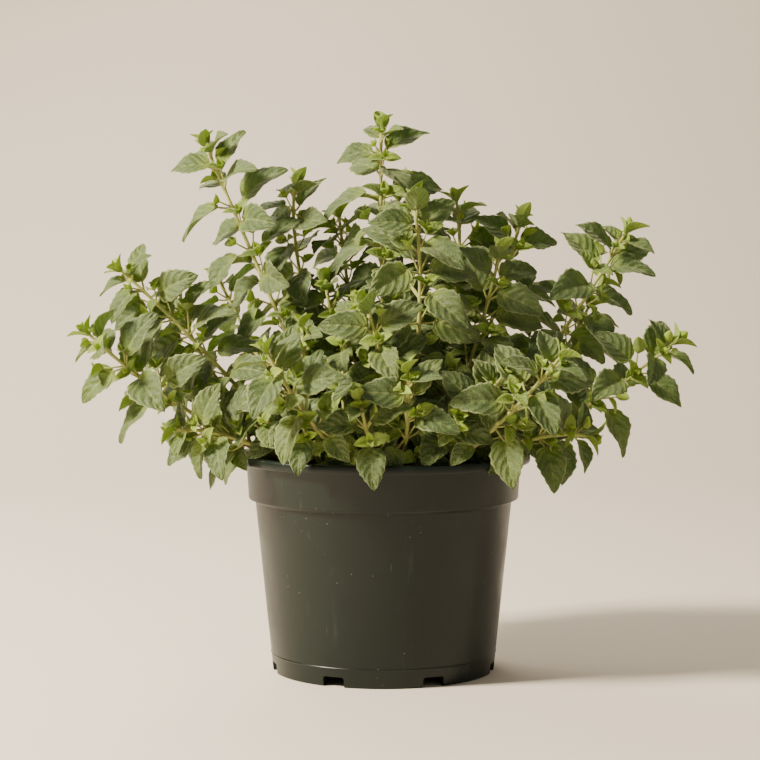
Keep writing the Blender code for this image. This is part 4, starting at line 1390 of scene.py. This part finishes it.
def make_mix():
    """The plug of potting mix, with a lumpy top inside the wall."""
    rim = pot_inner_radius(SOIL_TOP_Z) - GAP
    profile = soil_side()
    for ring in range(MIX_RINGS, 0, -1):
        profile.append((rim * ring / MIX_RINGS, SOIL_TOP_Z))
    profile.append((0.0, SOIL_TOP_Z))
    vertices, faces = turned_solid(profile, MIX_SIDES)
    top = 1 + (len(soil_side()) - 1) * MIX_SIDES
    vertices[top:] = [(x, y, mix_height(x, y)) for x, y, _ in vertices[top:]]
    mesh = mesh_of("peat_plug", vertices, faces)
    mesh.shade_smooth()
    mesh.materials.append(mix_look())
    plug = linked("peat_plug", mesh)
    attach(plug, "root")
    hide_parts("potting_mix")


def lump_shape():
    """The points and faces of a round lump of radius 1."""
    shape = bmesh.new()
    bmesh.ops.create_icosphere(shape, subdivisions=2, radius=1.0)
    points = np.array([v.co[:] for v in shape.verts])
    faces = [[v.index for v in face.verts] for face in shape.faces]
    shape.free()
    return points, faces


def make_crumbs():
    """Loose crumbs, bark bits and pale grains that lie on the mix."""
    chance = random.Random(CRUMB_SEED)
    ball, faces = lump_shape()
    rim = pot_inner_radius(SOIL_TOP_Z) - GAP
    points = []
    tones = []
    for _ in range(CRUMBS):
        kind = chance.random()
        size = chance.uniform(*CRUMB_SIZES)
        flat = (1.0, chance.uniform(*PEAT_WIDTHS), chance.uniform(*PEAT_HEIGHTS))
        tone = PEAT_TONE
        if kind < PALE_CRUMBS:
            size *= PALE_SIZE
            tone = PALE_TONE
        elif kind < PALE_CRUMBS + BARK_CRUMBS:
            flat = tuple(chance.uniform(*span) for span in BARK_SPANS)
            tone = BARK_TONE
        radius = (rim - CRUMB_EDGE) * math.sqrt(chance.random())
        angle = chance.uniform(0, 2 * math.pi)
        x = radius * math.cos(angle)
        y = radius * math.sin(angle)
        shift = Vector((x, y, 0.0))
        turn = Matrix.Rotation(chance.uniform(0, math.pi), 3, "Z")
        turn = turn @ Matrix.Rotation(chance.gauss(0, CRUMB_TILT), 3, "X")
        rough = [1 + CRUMB_ROUGHNESS * noise.noise(Vector(p) * CRUMB_LUMPS + shift) for p in ball]
        shape = (ball * np.array(rough)[:, None] * flat * size) @ np.array(turn.transposed())
        points.append(shape + (x, y, mix_height(x, y) + CRUMB_PROUD * size * flat[2]))
        tones.append((tone, 0.0, chance.random()))
    count = len(ball)
    all_faces = [[i + k * count for i in face] for k in range(CRUMBS) for face in faces]
    mesh = mesh_of("mix_crumbs", np.concatenate(points).tolist(), all_faces)
    layer = mesh.attributes.new("place", "FLOAT_VECTOR", "POINT")
    layer.data.foreach_set("vector", np.repeat(np.array(tones, np.float32), count, axis=0).ravel())
    mesh.materials.append(crumb_look())
    crumbs = linked("mix_crumbs", mesh)
    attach(crumbs, "root")


def make_plant():
    looks = [leaf_look(), stem_look()]
    stems = placed_stems()
    room = Room(stems)
    leaves = placed_leaves(stems, room)
    for number, stem in enumerate(stems):
        own = [leaf for leaf in leaves if leaf.shoot == stem.shoot.name]
        shoot_piece(number, stem, own, room, looks)


# Stage: metres, watts and linear colours
FLOOR_COLOUR = (0.80, 0.72, 0.62)
SWEEP_START = 0.9
SWEEP_RADIUS = 0.8
SWEEP_HEIGHT = 2.2
SWEEP_HALF_WIDTH = 4.0
SWEEP_FRONT = -2.5
SWEEP_STEPS = 16
WORLD_COLOUR = (1.0, 0.93, 0.83)
WORLD_STRENGTH = 0.27
Lamp = namedtuple("Lamp", "name place aim size power colour")
LAMPS = (
    Lamp("key", (-1.25, -0.48, 1.1), (0.0, 0.0, 0.16), 0.3, 92.0, (1.0, 0.88, 0.71)),
    Lamp("fill", (1.3, -1.1, 0.7), (0.0, 0.0, 0.15), 1.4, 1.5, (1.0, 0.95, 0.88)),
    Lamp("back", (-0.5, 1.1, 1.2), (0.0, 0.0, 0.2), 0.9, 16.0, (1.0, 0.93, 0.78)),
)


def stage_look():
    look = Look("pale_sweep")
    where = look.place()
    patch = look.noise(where, 1.3, 3.0)
    colour = look.mix(look.times(patch, 0.25), FLOOR_COLOUR, (0.72, 0.64, 0.54))
    look.set(Base_Color=colour, Roughness=0.75, Normal=look.bump(look.noise(where, 500.0), 0.05, 0.0004))
    return look.material


def make_stage():
    """A pale floor that curves up into a backdrop."""
    line = [(SWEEP_FRONT, 0.0), (SWEEP_START, 0.0)]
    for i in range(1, SWEEP_STEPS + 1):
        turn = math.pi / 2 * i / SWEEP_STEPS
        line.append((SWEEP_START + SWEEP_RADIUS * math.sin(turn), SWEEP_RADIUS * (1 - math.cos(turn))))
    line.append((SWEEP_START + SWEEP_RADIUS, SWEEP_HEIGHT))
    vertices = [(x, y, z) for y, z in line for x in (-SWEEP_HALF_WIDTH, SWEEP_HALF_WIDTH)]
    faces = [(2 * i, 2 * i + 1, 2 * i + 3, 2 * i + 2) for i in range(len(line) - 1)]
    mesh = bpy.data.meshes.new("sweep")
    mesh.from_pydata(vertices, [], faces)
    mesh.shade_smooth()
    mesh.materials.append(stage_look())
    linked("sweep", mesh)


def make_lights():
    for lamp in LAMPS:
        light = bpy.data.lights.new(lamp.name, "AREA")
        light.size = lamp.size
        light.energy = lamp.power
        light.color = lamp.colour
        obj = linked(lamp.name, light)
        obj.location = lamp.place
        obj.rotation_euler = (Vector(lamp.aim) - Vector(lamp.place)).to_track_quat("-Z", "Y").to_euler()
    world = bpy.data.worlds.new("soft_light")
    world.use_nodes = True
    world.node_tree.nodes["Background"].inputs["Color"].default_value = (*WORLD_COLOUR, 1.0)
    world.node_tree.nodes["Background"].inputs["Strength"].default_value = WORLD_STRENGTH
    bpy.context.scene.world = world


def make_camera():
    camera = bpy.data.cameras.new("camera")
    camera.sensor_width = SENSOR_WIDTH
    camera.lens = FOCAL_PIXELS / FRAME_PIXELS * SENSOR_WIDTH
    obj = linked("camera", camera)
    obj.location = (0.0, -CAMERA_DISTANCE * MM, CAMERA_HEIGHT * MM)
    obj.rotation_euler = (math.pi / 2 - CAMERA_TILT, 0.0, CAMERA_YAW)
    bpy.context.scene.camera = obj


make_camera()
make_stage()
make_lights()
make_pot()
make_mix()
make_crumbs()
make_plant()
